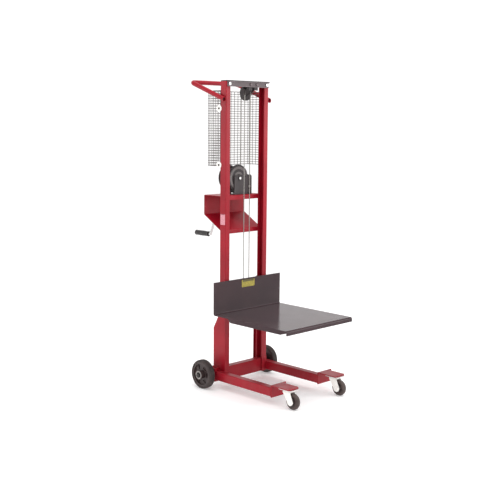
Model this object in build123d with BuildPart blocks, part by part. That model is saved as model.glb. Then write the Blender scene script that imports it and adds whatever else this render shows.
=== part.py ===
from build123d import *
import math
import os

# Hand-winch platform lift truck: a channel mast on two legs, a platform that a
# wire rope lifts at two to one, a rear hand winch with its crank, a wire guard,
# a push handle, two fixed rear wheels and two swivel casters.
#
# Frame: millimetres, +Z up, the load side faces -Y, the operator stands on +Y.
# "left" is the operator's left hand, which is +X. The origin is on the floor
# under the middle of the bounding box.

os.makedirs("parts", exist_ok=True)

# ---------------------------------------------------------------- driving dimensions
# Mast
mast_height = 1727.0  # top face of the head plate
mast_half_width = 164.0  # outer face of an upright
channel_depth = 46.0
channel_flange = 31.0
channel_wall = 4.0
channel_bend = 3.0
frame_foot_z = 45.0  # lowest edge of the uprights and posts
post_wall = 3.0
post_depth = 92.0
post_rear_flange = 14.0
post_height = 423.0
post_shoulder_z = 338.0
cross_member_height = 76.0
cross_member_wall = 4.0

# Base
leg_width = 43.0
leg_height = 50.0
leg_wall = 3.0
leg_bottom_z = 49.0
leg_reach = 408.0  # mast front to the front end of a leg
leg_corner = 5.0
axle_bracket_front = 34.0  # mast front to the bracket's front face
axle_bracket_length = 74.0
axle_bracket_bottom_z = 38.0
axle_bracket_height = 77.0
axle_bracket_plate = 5.0
foot_plate = 5.0
foot_web_width = 114.0
foot_web_bottom_z = 44.0
foot_top_z = 113.0
foot_shelf_width = 88.0
foot_shelf_length = 130.0
foot_shelf_corner = 10.0

# Rear wheels and axle
wheel_radius = 82.5
wheel_width = 41.0
wheel_spacer = 16.5  # leg to the wheel's hub
rim_radius = 69.0
rim_ring = 9.0
rim_web = 14.0
rim_pocket_floor = 4.0  # web left between the pockets of the two sides
tyre_shoulder = 9.0
hub_radius = 24.0
hub_outer_reach = 15.0  # hub face beyond the tyre's side
hub_inner_reach = 7.0
spoke_count = 6
axle_radius = 8.0
axle_back = 82.6  # mast front to the axle
collar_width = 3.0
collar_radius = 15.0

# Casters
caster_radius = 44.5
caster_width = 28.0
caster_trail = 33.0
caster_side = 39.0  # leg's -X face to the swivel axis
caster_swivel_ahead = 503.0  # mast front to the swivel axis
caster_plate = 4.0
caster_plate_width = 72.0
caster_plate_length = 92.0
fork_sheet = 3.0
fork_gap = 35.0
fork_eye_radius = 21.0
fork_eye_back = 5.0  # axle to the centre of the cheek's round end
caster_hub_radius = 12.0
fork_crown_length = 54.0
kingpin_radius = 6.0
caster_axle_radius = 5.0
race_radius = 21.0

# Head
head_plate = 4.0
head_plate_overhang = 13.0
head_channel_end_gap = 7.0  # mast side to the channel's end
head_channel_height = 29.0
head_channel_depth = 13.0
head_channel_wall = 4.0
head_bolt_inset = 20.0  # mast side to the outer bolts

# Rope and sheaves
rope_radius = 2.5
rope_gap = 0.35  # rope to the groove or the drum it lies in
rope_plane_back = 23.0  # mast front to the falling strands
top_sheave_pitch_radius = 38.0
top_sheave_drop = 63.4  # top of the mast to the sheave's axis
top_sheave_width = 12.0
carriage_sheave_pitch_radius = 22.0
carriage_sheave_width = 10.0
sheave_rim = 4.5  # rim beyond the rope's centre line
sheave_pin_radius = 8.0
carriage_pin_radius = 6.0
bracket_sheet = 4.0
bracket_eye_radius = 18.0
bracket_side_gap = 2.0
bracket_tab_width = 24.0
bracket_tab_drop = 46.0
anchor_thickness = 6.0
anchor_width = 24.0
anchor_hole_radius = 4.5
anchor_hole_drop = 30.0
eye_ring_radius = 9.0
ferrule_radius = 5.5
ferrule_length = 25.0

# Push handle
handle_tube_radius = 12.7
handle_tube_wall = 2.0
handle_front_z = 1623.0
handle_back = 274.0  # mast front to the cross tube's centre line
handle_rise = 97.5
handle_bend = 26.0
handle_end_back = 2.0

# Wire guard
guard_depth = 105.6
guard_bottom_z = 1257.0
guard_height = 416.0
guard_sheet = 2.0
guard_seam = 0.2  # between a wing's rear edge and the panel behind
guard_row_pitch = 27.0
guard_column_pitch = 27.0
guard_wire = 3.0
guard_tab_sheet = 3.0
guard_tab_length = 24.0
guard_tab_height = 30.0
guard_bolt_behind = 10.0  # uprights' rear to the bolts
guard_bolt_inset = 98.0  # guard's top edge to the upper bolt
guard_bolt_low = 7.0  # guard's bottom edge to the lower bolt
washer_radius = 19.0
washer_thickness = 1.6
guard_bolt_radius = 3.0
guard_bolt_head_radius = 5.5
guard_bolt_head = 4.0

# Winch shelf
shelf_sheet = 3.0
shelf_inset = 8.0  # mast side to the shelf's end
shelf_top_z = 1091.0
shelf_depth = 142.0
shelf_front_lip = 26.0
shelf_rear_height = 112.0
shelf_lower_lip_top_z = 897.0
shelf_lower_lip = 22.0
shelf_bend = 5.0

# Winch
winch_plate = 4.0
winch_front_back = 68.0  # mast front to the front side plate
winch_length = 114.0
winch_left_reach = 96.0  # drum axis to the frame's +X edge
winch_right_reach = 40.0  # drum axis to the frame's -X edge
winch_frame_height = 112.0
winch_notch_depth = 9.0
drum_x = 8.0
drum_above_shelf = 93.0
drum_core_radius = 32.15
drum_flange_radius = 74.0
drum_flange = 3.0
drum_core_length = 72.0
drum_shaft_radius = 8.0
gear_module = 2.5
gear_teeth = 60
pinion_teeth = 12
gear_width = 10.0
gear_offset = 6.0  # front side plate to the gear
pinion_extra_width = 2.0
gear_backlash_gap = 0.5
mesh_angle = 33.0  # pinion below the drum's level, seen from the front
tooth_height_share = 0.8
tooth_root_share = 1.35
tooth_tip_share = 0.11
tooth_base_share = 0.23
drum_hub_radius = 15.0
wound_turns = 12
ratchet_radius = 26.0
ratchet_root_radius = 20.0
ratchet_teeth = 12
ratchet_width = 6.0
pawl_pin_radius = 4.0
ratchet_gap = 2.0  # rear side plate to the ratchet
pawl_lift = 44.0  # pawl pivot above the pinion axis
pawl_side = 12.0  # pawl pivot to +X of the pinion axis
pawl_eye_radius = 7.0
pawl_tip_radius = 1.6
pawl_tip_gap = 0.8  # released pawl to the ratchet's teeth
pawl_tip_angle = 116.0  # place of the tip round the ratchet
pawl_pin_head = 2.0

# Crank
crank_back = 266.0  # mast front to the arm's front face
crank_radius = 310.0
crank_hang = 22.0  # degrees from straight down towards -X
crank_bar_width = 14.0
crank_bar = 8.0
crank_hub_radius = 14.0
crank_hub_length = 22.0
crank_nut_radius = 11.0
crank_nut = 8.0
grip_radius = 15.5
grip_length = 114.0
grip_pin_radius = 5.0
grip_standoff = 8.0
grip_cap = 4.0

# Carriage
platform_half_width = 263.0
platform_sheet = 5.0
platform_length = 553.0
platform_z = 441.0
back_plate_height = 180.0
back_plate_ahead = 16.5  # mast front to the back plate's front face
platform_lip = 25.0
platform_bend = 8.0
side_lip_start = 112.0
side_lip_end_gap = 47.0
side_lip_slant = 18.0
bar_thickness = 10.0
bar_height = 157.0
bar_above_platform = 14.0
bar_side_gap = 5.0
bar_rear_gap = 5.0
roller_width = 20.0
roller_gap = 0.5
roller_web_gap = 3.0
roller_pin_radius = 6.0
roller_end_inset = 23.0
crossbar_height = 24.0
crossbar_depth = 20.0
crossbar_above_platform = 81.0
clevis_sheet = 4.0
clevis_half_width = 12.0
carriage_sheave_above_platform = 139.0

# Labels
label_thickness = 0.6
rating_label_width = 36.0
rating_label_height = 60.0
rating_label_z = 963.0
capacity_label_width = 100.0
capacity_label_height = 42.0
capacity_label_drop = 29.0

# Fits
running_gap = 0.08  # radial, a shaft in a turning bore
side_gap = 0.4  # along an axis, between pieces that turn past each other
bolt_radius = 5.0
bolt_head_radius = 8.5
bolt_head = 6.0
bolt_end = 4.0

# ---------------------------------------------------------------- derived places
crank_front_reach = crank_back + crank_bar + grip_standoff
grip_end_back = crank_front_reach + grip_length + grip_cap
caster_front_ahead = caster_swivel_ahead + caster_trail + caster_radius
mast_y = (caster_front_ahead - grip_end_back) / 2


def back(distance):
    """Y of a point this far behind the front faces of the uprights."""
    return mast_y + distance


def facing(y):
    """A vertical plane at this Y: local x is X, local y is Z, the normal is -Y."""
    return Plane(origin=(0, y, 0), x_dir=(1, 0, 0), z_dir=(0, -1, 0))


def sideways(x):
    """A vertical plane at this X: local x is Y, local y is Z, the normal is +X."""
    return Plane.YZ.offset(x)


def level(z):
    """A horizontal plane at this height."""
    return Plane.XY.offset(z)


sides = (("left", 1), ("right", -1))
upright_top_z = mast_height - head_plate
post_outer = mast_half_width + post_wall
leg_outer = post_outer + leg_width
leg_low_x = {"left": post_outer, "right": -leg_outer}
wheel_track_half = leg_outer + wheel_spacer + hub_inner_reach + wheel_width / 2
head_channel_half_width = mast_half_width - head_channel_end_gap
head_bolt_x = mast_half_width - head_bolt_inset
shelf_half_width = mast_half_width - shelf_inset
guard_bolt_back = channel_depth + guard_bolt_behind
caster_x = {side: leg_low_x[side] + caster_side for side, _ in sides}
caster_swivel_y = back(-caster_swivel_ahead)
caster_wheel_y = caster_swivel_y - caster_trail
axle_y = back(axle_back)
drum_z = shelf_top_z + drum_above_shelf
centre_distance = gear_module * (gear_teeth + pinion_teeth) / 2 + gear_backlash_gap
pinion_x = drum_x + centre_distance * math.cos(math.radians(mesh_angle))
pinion_z = drum_z - centre_distance * math.sin(math.radians(mesh_angle))
rope_live_x = drum_x + drum_core_radius + rope_gap + rope_radius
rope_dead_x = rope_live_x - 2 * carriage_sheave_pitch_radius
rope_y = back(rope_plane_back)
top_sheave_y = rope_y + top_sheave_pitch_radius
top_sheave_z = mast_height - top_sheave_drop
rope_riser_y = top_sheave_y + top_sheave_pitch_radius
carriage_sheave_x = (rope_live_x + rope_dead_x) / 2
carriage_sheave_z = platform_z + carriage_sheave_above_platform

# ---------------------------------------------------------------- mast uprights
for side, sign in sides:
    with BuildPart() as upright:
        with BuildSketch(level(frame_foot_z)):
            with Locations((sign * (mast_half_width - channel_flange / 2), back(channel_depth / 2))):
                Rectangle(channel_flange, channel_depth)
            inner_x = sign * (mast_half_width - channel_wall - channel_flange / 2)
            with Locations((inner_x, back(channel_depth / 2))):
                Rectangle(channel_flange, channel_depth - 2 * channel_wall, mode=Mode.SUBTRACT)
        extrude(amount=upright_top_z - frame_foot_z)
        outer_edges = upright.edges().filter_by(Axis.Z).sort_by(Axis.X)[-2:]
        if sign < 0:
            outer_edges = upright.edges().filter_by(Axis.Z).sort_by(Axis.X)[:2]
        fillet(outer_edges, channel_bend)
        with BuildSketch(facing(back(0))):
            with Locations((sign * head_bolt_x, upright_top_z - head_channel_height / 2)):
                Circle(bolt_radius + running_gap)
        extrude(amount=-channel_wall, mode=Mode.SUBTRACT)
    upright.part.label = f"upright_{side}"
    export_step(upright.part, f"parts/upright_{side}.step")

# ---------------------------------------------------------------- lower posts
# A sleeve folded round each upright, deeper than it, with a sloped shoulder behind.
with BuildPart() as lower_posts:
    for _, sign in sides:
        sleeve_width = channel_flange + post_wall
        with BuildSketch(level(frame_foot_z)):
            with Locations((sign * (post_outer - sleeve_width / 2), back((post_depth - post_wall) / 2))):
                Rectangle(sleeve_width, post_depth + post_wall)
            inner_x = sign * (mast_half_width - sleeve_width / 2)
            with Locations((inner_x, back((post_depth - post_wall) / 2))):
                Rectangle(sleeve_width, post_depth - post_wall, mode=Mode.SUBTRACT)
            rear_trim = sleeve_width - post_rear_flange
            trim_x = sign * (post_outer - sleeve_width + rear_trim / 2)
            with Locations((trim_x, back(post_depth - post_wall / 2))):
                Rectangle(rear_trim, post_wall, mode=Mode.SUBTRACT)
        extrude(amount=post_height - frame_foot_z)
        with BuildSketch(sideways(sign * mast_half_width - sleeve_width)):
            with BuildLine():
                Polyline(
                    (back(channel_depth), post_height),
                    (back(post_depth), post_shoulder_z),
                    (back(2 * post_depth), post_shoulder_z),
                    (back(2 * post_depth), post_height),
                    close=True,
                )
            make_face()
        extrude(amount=2 * sleeve_width, mode=Mode.SUBTRACT)
        with BuildSketch(sideways(sign * mast_half_width - sleeve_width)):
            with Locations((axle_y, wheel_radius)):
                Circle(axle_radius)
        extrude(amount=2 * sleeve_width, mode=Mode.SUBTRACT)
lower_posts.part.label = "lower_posts"
export_step(lower_posts.part, "parts/lower_posts.step")

# ---------------------------------------------------------------- cross member
# A channel between the uprights' webs at the floor end, open to the rear.
cross_depth = channel_depth - 2 * channel_wall
cross_half_length = mast_half_width - channel_wall
cross_mid_z = frame_foot_z + cross_member_height / 2
with BuildPart() as cross_member:
    with BuildSketch(sideways(-cross_half_length)):
        with Locations((back(channel_depth / 2), cross_mid_z)):
            Rectangle(cross_depth, cross_member_height)
        with Locations((back(channel_depth / 2 + cross_member_wall), cross_mid_z)):
            Rectangle(cross_depth, cross_member_height - 2 * cross_member_wall, mode=Mode.SUBTRACT)
    extrude(amount=2 * cross_half_length)
cross_member.part.label = "cross_member"
export_step(cross_member.part, "parts/cross_member.step")

# ---------------------------------------------------------------- legs
leg_rear = axle_bracket_front
with BuildPart() as legs:
    for side, _ in sides:
        with BuildSketch(facing(back(-leg_reach))):
            with Locations((leg_low_x[side] + leg_width / 2, leg_bottom_z + leg_height / 2)):
                RectangleRounded(leg_width, leg_height, leg_corner)
                RectangleRounded(
                    leg_width - 2 * leg_wall,
                    leg_height - 2 * leg_wall,
                    leg_corner - leg_wall,
                    mode=Mode.SUBTRACT,
                )
        extrude(amount=-(leg_reach + leg_rear))
legs.part.label = "legs"
export_step(legs.part, "parts/legs.step")

# ---------------------------------------------------------------- axle brackets
# A plate folded to a U behind each leg; its two cheeks carry the axle.
with BuildPart() as axle_brackets:
    bracket_top = axle_bracket_bottom_z + axle_bracket_height
    bracket_rear = axle_bracket_front + axle_bracket_length
    for side, _ in sides:
        with BuildSketch(level(axle_bracket_bottom_z)):
            leg_mid_x = leg_low_x[side] + leg_width / 2
            plate_mid = axle_bracket_front + axle_bracket_length / 2
            with Locations((leg_mid_x, back(plate_mid))):
                Rectangle(leg_width, axle_bracket_length)
            with Locations((leg_mid_x, back(plate_mid + axle_bracket_plate))):
                Rectangle(leg_width - 2 * axle_bracket_plate, axle_bracket_length, mode=Mode.SUBTRACT)
        extrude(amount=axle_bracket_height)
        rear_edges = axle_brackets.edges().filter_by(Axis.X).group_by(Axis.Y)[-1]
        fillet(rear_edges, axle_bracket_length / 4)
        with BuildSketch(sideways(leg_low_x[side])):
            with Locations((axle_y, wheel_radius)):
                Circle(axle_radius)
        extrude(amount=leg_width, mode=Mode.SUBTRACT)
axle_brackets.part.label = "axle_brackets"
export_step(axle_brackets.part, "parts/axle_brackets.step")

# ---------------------------------------------------------------- foot brackets
# A vertical web across the end of each leg, folded forward at its top over the
# caster. Both are the same hand: each starts at its leg's -X face.
with BuildPart() as foot_brackets:
    for side, _ in sides:
        low_x = leg_low_x[side]
        web_height = foot_top_z - foot_web_bottom_z
        with BuildSketch(facing(back(-leg_reach))):
            with Locations((low_x + foot_web_width / 2, foot_web_bottom_z + web_height / 2)):
                Rectangle(foot_web_width, web_height)
        extrude(amount=foot_plate)
        with BuildSketch(level(foot_top_z - foot_plate)):
            with BuildLine():
                Polyline(
                    (low_x, back(-leg_reach)),
                    (low_x, back(-leg_reach - foot_shelf_length)),
                    (low_x + foot_shelf_width - foot_shelf_corner, back(-leg_reach - foot_shelf_length)),
                    (low_x + foot_shelf_width, back(-leg_reach - foot_shelf_length + foot_shelf_corner)),
                    (low_x + foot_shelf_width, back(-leg_reach)),
                    close=True,
                )
            make_face()
        extrude(amount=foot_plate)
foot_brackets.part.label = "foot_brackets"
export_step(foot_brackets.part, "parts/foot_brackets.step")

# ---------------------------------------------------------------- caster top plates
# Each plate carries its kingpin, riveted in, with a head under the fork's crown.
caster_plate_z = foot_top_z - foot_plate - caster_plate
wheel_top_z = 2 * caster_radius
crown_low_z = wheel_top_z + fork_sheet + 2 * side_gap
crown_top_z = crown_low_z + fork_sheet
with BuildPart() as caster_plates:
    for side, _ in sides:
        with BuildSketch(level(caster_plate_z)):
            with Locations((caster_x[side], caster_swivel_y)):
                RectangleRounded(caster_plate_width, caster_plate_length, foot_shelf_corner)
        extrude(amount=caster_plate)
        with BuildSketch(level(crown_low_z - side_gap)):
            with Locations((caster_x[side], caster_swivel_y)):
                Circle(kingpin_radius)
        extrude(amount=caster_plate_z - crown_low_z + side_gap)
        with BuildSketch(level(wheel_top_z + side_gap)):
            with Locations((caster_x[side], caster_swivel_y)):
                Circle(kingpin_radius + fork_sheet)
        extrude(amount=crown_low_z - wheel_top_z - 2 * side_gap)
caster_plates.part.label = "caster_plates"
export_step(caster_plates.part, "parts/caster_plates.step")

# ---------------------------------------------------------------- caster forks, axles, wheels
for side, _ in sides:
    centre_x = caster_x[side]
    with BuildPart() as fork:
        for cheek_x in (centre_x - fork_gap / 2 - fork_sheet, centre_x + fork_gap / 2):
            with BuildSketch(sideways(cheek_x)):
                with BuildLine():
                    CenterArc((caster_wheel_y + fork_eye_back, caster_radius), fork_eye_radius, 0, 360)
                    Polyline(
                        (caster_swivel_y - fork_crown_length / 2, crown_low_z),
                        (caster_swivel_y + fork_crown_length / 2, crown_low_z),
                        (caster_swivel_y + fork_crown_length / 2, crown_top_z),
                        (caster_swivel_y - fork_crown_length / 2, crown_top_z),
                        close=True,
                    )
                make_hull()
            extrude(amount=fork_sheet)
        with BuildSketch(level(crown_low_z)):
            with Locations((centre_x, caster_swivel_y)):
                Rectangle(fork_gap + 2 * fork_sheet, fork_crown_length)
        extrude(amount=fork_sheet)
        with BuildSketch(level(crown_top_z)):
            with Locations((centre_x, caster_swivel_y)):
                Circle(race_radius)
        extrude(amount=caster_plate_z - crown_top_z - side_gap, taper=12)
        with BuildSketch(level(crown_low_z)):
            with Locations((centre_x, caster_swivel_y)):
                Circle(kingpin_radius + running_gap)
        extrude(amount=caster_plate_z - crown_low_z, mode=Mode.SUBTRACT)
        with BuildSketch(sideways(centre_x - fork_gap)):
            with Locations((caster_wheel_y, caster_radius)):
                Circle(caster_axle_radius)
        extrude(amount=2 * fork_gap, mode=Mode.SUBTRACT)
    fork.part.label = f"caster_fork_{side}"
    export_step(fork.part, f"parts/caster_fork_{side}.step")

    with BuildPart() as caster_axle:
        half_length = fork_gap / 2 + fork_sheet
        with BuildSketch(sideways(centre_x - half_length)):
            with Locations((caster_wheel_y, caster_radius)):
                Circle(caster_axle_radius)
        extrude(amount=2 * half_length)
        for head_x in (centre_x - half_length - bolt_end, centre_x + half_length):
            with BuildSketch(sideways(head_x)):
                with Locations((caster_wheel_y, caster_radius)):
                    RegularPolygon(bolt_head_radius, 6)
            extrude(amount=bolt_end)
    caster_axle.part.label = f"caster_axle_{side}"
    export_step(caster_axle.part, f"parts/caster_axle_{side}.step")

    with BuildPart() as caster_wheel:
        with BuildSketch(sideways(centre_x - caster_width / 2)):
            with Locations((caster_wheel_y, caster_radius)):
                Circle(caster_radius)
        extrude(amount=caster_width)
        fillet(caster_wheel.edges().filter_by(GeomType.CIRCLE), caster_width / 4)
        hub_half = fork_gap / 2 - side_gap
        with BuildSketch(sideways(centre_x - hub_half)):
            with Locations((caster_wheel_y, caster_radius)):
                Circle(caster_hub_radius)
        extrude(amount=2 * hub_half)
        with BuildSketch(sideways(centre_x - hub_half)):
            with Locations((caster_wheel_y, caster_radius)):
                Circle(caster_axle_radius + running_gap)
        extrude(amount=2 * hub_half, mode=Mode.SUBTRACT)
    caster_wheel.part.label = f"caster_wheel_{side}"
    export_step(caster_wheel.part, f"parts/caster_wheel_{side}.step")

# ---------------------------------------------------------------- rear wheels
hub_inner_x = wheel_track_half - wheel_width / 2 - hub_inner_reach
hub_outer_x = wheel_track_half + wheel_width / 2 + hub_outer_reach
for side, sign in sides:
    with BuildPart() as rear_tyre:
        with BuildSketch(sideways(sign * wheel_track_half)):
            with Locations((axle_y, wheel_radius)):
                Circle(wheel_radius)
        extrude(amount=wheel_width / 2, both=True)
        fillet(rear_tyre.edges().filter_by(GeomType.CIRCLE), tyre_shoulder)
        with BuildSketch(sideways(sign * wheel_track_half)):
            with Locations((axle_y, wheel_radius)):
                Circle(rim_radius)
        extrude(amount=wheel_width / 2, both=True, mode=Mode.SUBTRACT)
    rear_tyre.part.label = f"rear_tyre_{side}"
    export_step(rear_tyre.part, f"parts/rear_tyre_{side}.step")

    with BuildPart() as rear_hub:
        with BuildSketch(sideways(sign * wheel_track_half)):
            with Locations((axle_y, wheel_radius)):
                Circle(rim_radius)
                Circle(rim_radius - rim_ring, mode=Mode.SUBTRACT)
        extrude(amount=wheel_width / 2 - tyre_shoulder / 3, both=True)
        with BuildSketch(sideways(sign * wheel_track_half)):
            with Locations((axle_y, wheel_radius)):
                Circle(rim_radius - rim_ring)
        extrude(amount=rim_web / 2, both=True)
        # Triangular pockets leave the spokes standing between the hub and the ring.
        for face in (1, -1):
            with BuildSketch(sideways(sign * wheel_track_half + face * rim_pocket_floor / 2)):
                with Locations((axle_y, wheel_radius)):
                    with PolarLocations((hub_radius + rim_radius - rim_ring) / 2, spoke_count):
                        RegularPolygon((rim_radius - rim_ring - hub_radius) / 2, 3)
            extrude(amount=face * (rim_web - rim_pocket_floor) / 2, mode=Mode.SUBTRACT)
        with BuildSketch(sideways(min(sign * hub_inner_x, sign * hub_outer_x))):
            with Locations((axle_y, wheel_radius)):
                Circle(hub_radius)
        extrude(amount=hub_outer_x - hub_inner_x)
        with BuildSketch(sideways(min(sign * hub_inner_x, sign * hub_outer_x))):
            with Locations((axle_y, wheel_radius)):
                Circle(axle_radius + running_gap)
        extrude(amount=hub_outer_x - hub_inner_x, mode=Mode.SUBTRACT)
    rear_hub.part.label = f"rear_hub_{side}"
    export_step(rear_hub.part, f"parts/rear_hub_{side}.step")

# ---------------------------------------------------------------- rear axle and its collars
axle_half_length = hub_outer_x + side_gap + collar_width + axle_radius / 2
with BuildPart() as rear_axle:
    with BuildSketch(sideways(-axle_half_length)):
        with Locations((axle_y, wheel_radius)):
            Circle(axle_radius)
    extrude(amount=2 * axle_half_length)
    chamfer(rear_axle.edges().filter_by(GeomType.CIRCLE), axle_radius / 4)
rear_axle.part.label = "rear_axle"
export_step(rear_axle.part, "parts/rear_axle.step")

with BuildPart() as axle_collars:
    spacer_length = hub_inner_x - side_gap - leg_outer
    for start_x, length in (
        (leg_outer, spacer_length),
        (-leg_outer - spacer_length, spacer_length),
        (hub_outer_x + side_gap, collar_width),
        (-hub_outer_x - side_gap - collar_width, collar_width),
    ):
        with BuildSketch(sideways(start_x)):
            with Locations((axle_y, wheel_radius)):
                Circle(collar_radius)
                Circle(axle_radius, mode=Mode.SUBTRACT)
        extrude(amount=length)
axle_collars.part.label = "axle_collars"
export_step(axle_collars.part, "parts/axle_collars.step")

# ---------------------------------------------------------------- head plate and channel
with BuildPart() as top_plate:
    with BuildSketch(level(upright_top_z)):
        with Locations((0, back((channel_depth - head_plate_overhang) / 2))):
            Rectangle(2 * mast_half_width, channel_depth + head_plate_overhang)
    extrude(amount=head_plate)
    chamfer(top_plate.edges().filter_by(Axis.Z), head_plate)
top_plate.part.label = "top_plate"
export_step(top_plate.part, "parts/top_plate.step")

bracket_half_gap = top_sheave_width / 2 + bracket_side_gap
bracket_tab_x = bracket_half_gap + bracket_sheet + bracket_tab_width / 2
head_bolt_z = upright_top_z - head_channel_height / 2
head_bolt_xs = (
    -head_bolt_x,
    rope_live_x - bracket_tab_x,
    rope_live_x + bracket_tab_x,
    head_bolt_x,
)
with BuildPart() as head_channel:
    with BuildSketch(sideways(-head_channel_half_width)):
        with Locations((back(-head_channel_depth / 2), head_bolt_z)):
            Rectangle(head_channel_depth, head_channel_height)
        with Locations((back(-head_channel_depth / 2 - head_channel_wall), head_bolt_z)):
            Rectangle(
                head_channel_depth,
                head_channel_height - 2 * head_channel_wall,
                mode=Mode.SUBTRACT,
            )
    extrude(amount=2 * head_channel_half_width)
    with BuildSketch(facing(back(0))):
        with Locations(*[(x, head_bolt_z) for x in head_bolt_xs]):
            Circle(bolt_radius)
    extrude(amount=head_channel_depth, mode=Mode.SUBTRACT)
head_channel.part.label = "head_channel"
export_step(head_channel.part, "parts/head_channel.step")

# ---------------------------------------------------------------- top sheave bracket
# Two cheeks hang the sheave under the head; tabs turned out from them are bolted
# behind the head channel.
with BuildPart() as sheave_bracket:
    for cheek_x in (
        rope_live_x - bracket_half_gap - bracket_sheet,
        rope_live_x + bracket_half_gap,
    ):
        with BuildSketch(sideways(cheek_x)):
            with BuildLine():
                CenterArc((top_sheave_y, top_sheave_z), bracket_eye_radius, 0, 360)
                Polyline(
                    (back(0), upright_top_z),
                    (back(channel_depth), upright_top_z),
                    (back(channel_depth), upright_top_z - bracket_tab_drop),
                    (back(0), upright_top_z - bracket_tab_drop),
                    close=True,
                )
            make_hull()
        extrude(amount=bracket_sheet)
    for tab_sign in (1, -1):
        tab_x = rope_live_x + tab_sign * bracket_tab_x
        with BuildSketch(facing(back(0))):
            with Locations((tab_x, upright_top_z - bracket_tab_drop / 2)):
                Rectangle(bracket_tab_width, bracket_tab_drop)
            with Locations((tab_x, head_bolt_z)):
                Circle(bolt_radius, mode=Mode.SUBTRACT)
        extrude(amount=-bracket_sheet)
    with BuildSketch(sideways(rope_live_x - bracket_half_gap - bracket_sheet)):
        with Locations((top_sheave_y, top_sheave_z)):
            Circle(sheave_pin_radius)
    extrude(amount=2 * (bracket_half_gap + bracket_sheet), mode=Mode.SUBTRACT)
sheave_bracket.part.label = "sheave_bracket"
export_step(sheave_bracket.part, "parts/sheave_bracket.step")

pin_half = bracket_half_gap + bracket_sheet
with BuildPart() as top_sheave_pin:
    with BuildSketch(sideways(rope_live_x - pin_half)):
        with Locations((top_sheave_y, top_sheave_z)):
            Circle(sheave_pin_radius)
    extrude(amount=2 * pin_half)
    for head_x in (rope_live_x - pin_half - bolt_end, rope_live_x + pin_half):
        with BuildSketch(sideways(head_x)):
            with Locations((top_sheave_y, top_sheave_z)):
                RegularPolygon(sheave_pin_radius + bolt_end, 6)
        extrude(amount=bolt_end)
top_sheave_pin.part.label = "top_sheave_pin"
export_step(top_sheave_pin.part, "parts/top_sheave_pin.step")

groove_radius = rope_radius + rope_gap
with BuildPart() as top_sheave:
    with BuildSketch(Plane.XY.offset(top_sheave_z)) as sheave_profile:
        with Locations((rope_live_x, top_sheave_y + (top_sheave_pitch_radius + sheave_rim) / 2)):
            Rectangle(top_sheave_width, top_sheave_pitch_radius + sheave_rim)
        with Locations((rope_live_x, top_sheave_y + top_sheave_pitch_radius)):
            Circle(groove_radius, mode=Mode.SUBTRACT)
        with Locations((rope_live_x, top_sheave_y + top_sheave_pitch_radius + sheave_rim / 2)):
            Rectangle(2 * groove_radius, sheave_rim, mode=Mode.SUBTRACT)
    revolve(axis=Axis((rope_live_x, top_sheave_y, top_sheave_z), (1, 0, 0)))
    boss_half = bracket_half_gap - side_gap
    with BuildSketch(sideways(rope_live_x - boss_half)):
        with Locations((top_sheave_y, top_sheave_z)):
            Circle(sheave_pin_radius + bracket_sheet)
    extrude(amount=2 * boss_half)
    with BuildSketch(sideways(rope_live_x - boss_half)):
        with Locations((top_sheave_y, top_sheave_z)):
            Circle(sheave_pin_radius + running_gap)
    extrude(amount=2 * boss_half, mode=Mode.SUBTRACT)
top_sheave.part.label = "top_sheave"
export_step(top_sheave.part, "parts/top_sheave.step")

# ---------------------------------------------------------------- rope's dead end
anchor_hole_z = upright_top_z - anchor_hole_drop
anchor_low_z = anchor_hole_z - anchor_hole_radius - anchor_thickness
with BuildPart() as anchor_lug:
    with BuildSketch(sideways(rope_dead_x - anchor_thickness / 2)):
        with Locations((rope_y, (upright_top_z + anchor_low_z) / 2)):
            Rectangle(anchor_width, upright_top_z - anchor_low_z)
        with Locations((rope_y, anchor_hole_z)):
            Circle(anchor_hole_radius, mode=Mode.SUBTRACT)
    extrude(amount=anchor_thickness)
    fillet(anchor_lug.edges().filter_by(Axis.X).group_by(Axis.Z)[0], anchor_thickness)
anchor_lug.part.label = "anchor_lug"
export_step(anchor_lug.part, "parts/anchor_lug.step")

ring_z = anchor_hole_z - eye_ring_radius
ferrule_top_z = ring_z - eye_ring_radius + rope_radius / 2
ferrule_low_z = ferrule_top_z - ferrule_length
with BuildPart() as anchor_eye:
    with Locations(Location((rope_dead_x, rope_y, ring_z), (90, 0, 0))):
        Torus(eye_ring_radius, rope_radius)
    with BuildSketch(level(ferrule_low_z)):
        with Locations((rope_dead_x, rope_y)):
            Circle(ferrule_radius)
    extrude(amount=ferrule_length)
anchor_eye.part.label = "anchor_eye"
export_step(anchor_eye.part, "parts/anchor_eye.step")

# ---------------------------------------------------------------- wire rope
# One rope: off the drum, up, over the top sheave, down to the carriage sheave,
# round it and up to the dead end. The strands to the carriage end at its sheave.
with BuildPart() as rope_riser:
    with BuildLine() as riser_path:
        riser = Line((rope_live_x, rope_riser_y, drum_z), (rope_live_x, rope_riser_y, top_sheave_z))
        ThreePointArc(
            riser @ 1,
            (rope_live_x, top_sheave_y, top_sheave_z + top_sheave_pitch_radius),
            (rope_live_x, rope_y, top_sheave_z),
        )
    with BuildSketch(Plane(riser_path.line @ 0, z_dir=riser_path.line % 0)):
        Circle(rope_radius)
    sweep()
rope_riser.part.label = "rope_riser"
export_step(rope_riser.part, "parts/rope_riser.step")

strand_low_z = carriage_sheave_z + side_gap
for name, strand_x, strand_top_z in (
    ("rope_live_strand", rope_live_x, top_sheave_z),
    ("rope_dead_strand", rope_dead_x, ferrule_low_z),
):
    with BuildPart() as strand:
        with BuildSketch(level(strand_low_z)):
            with Locations((strand_x, rope_y)):
                Circle(rope_radius)
        extrude(amount=strand_top_z - strand_low_z)
    strand.part.label = name
    export_step(strand.part, f"parts/{name}.step")

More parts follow.
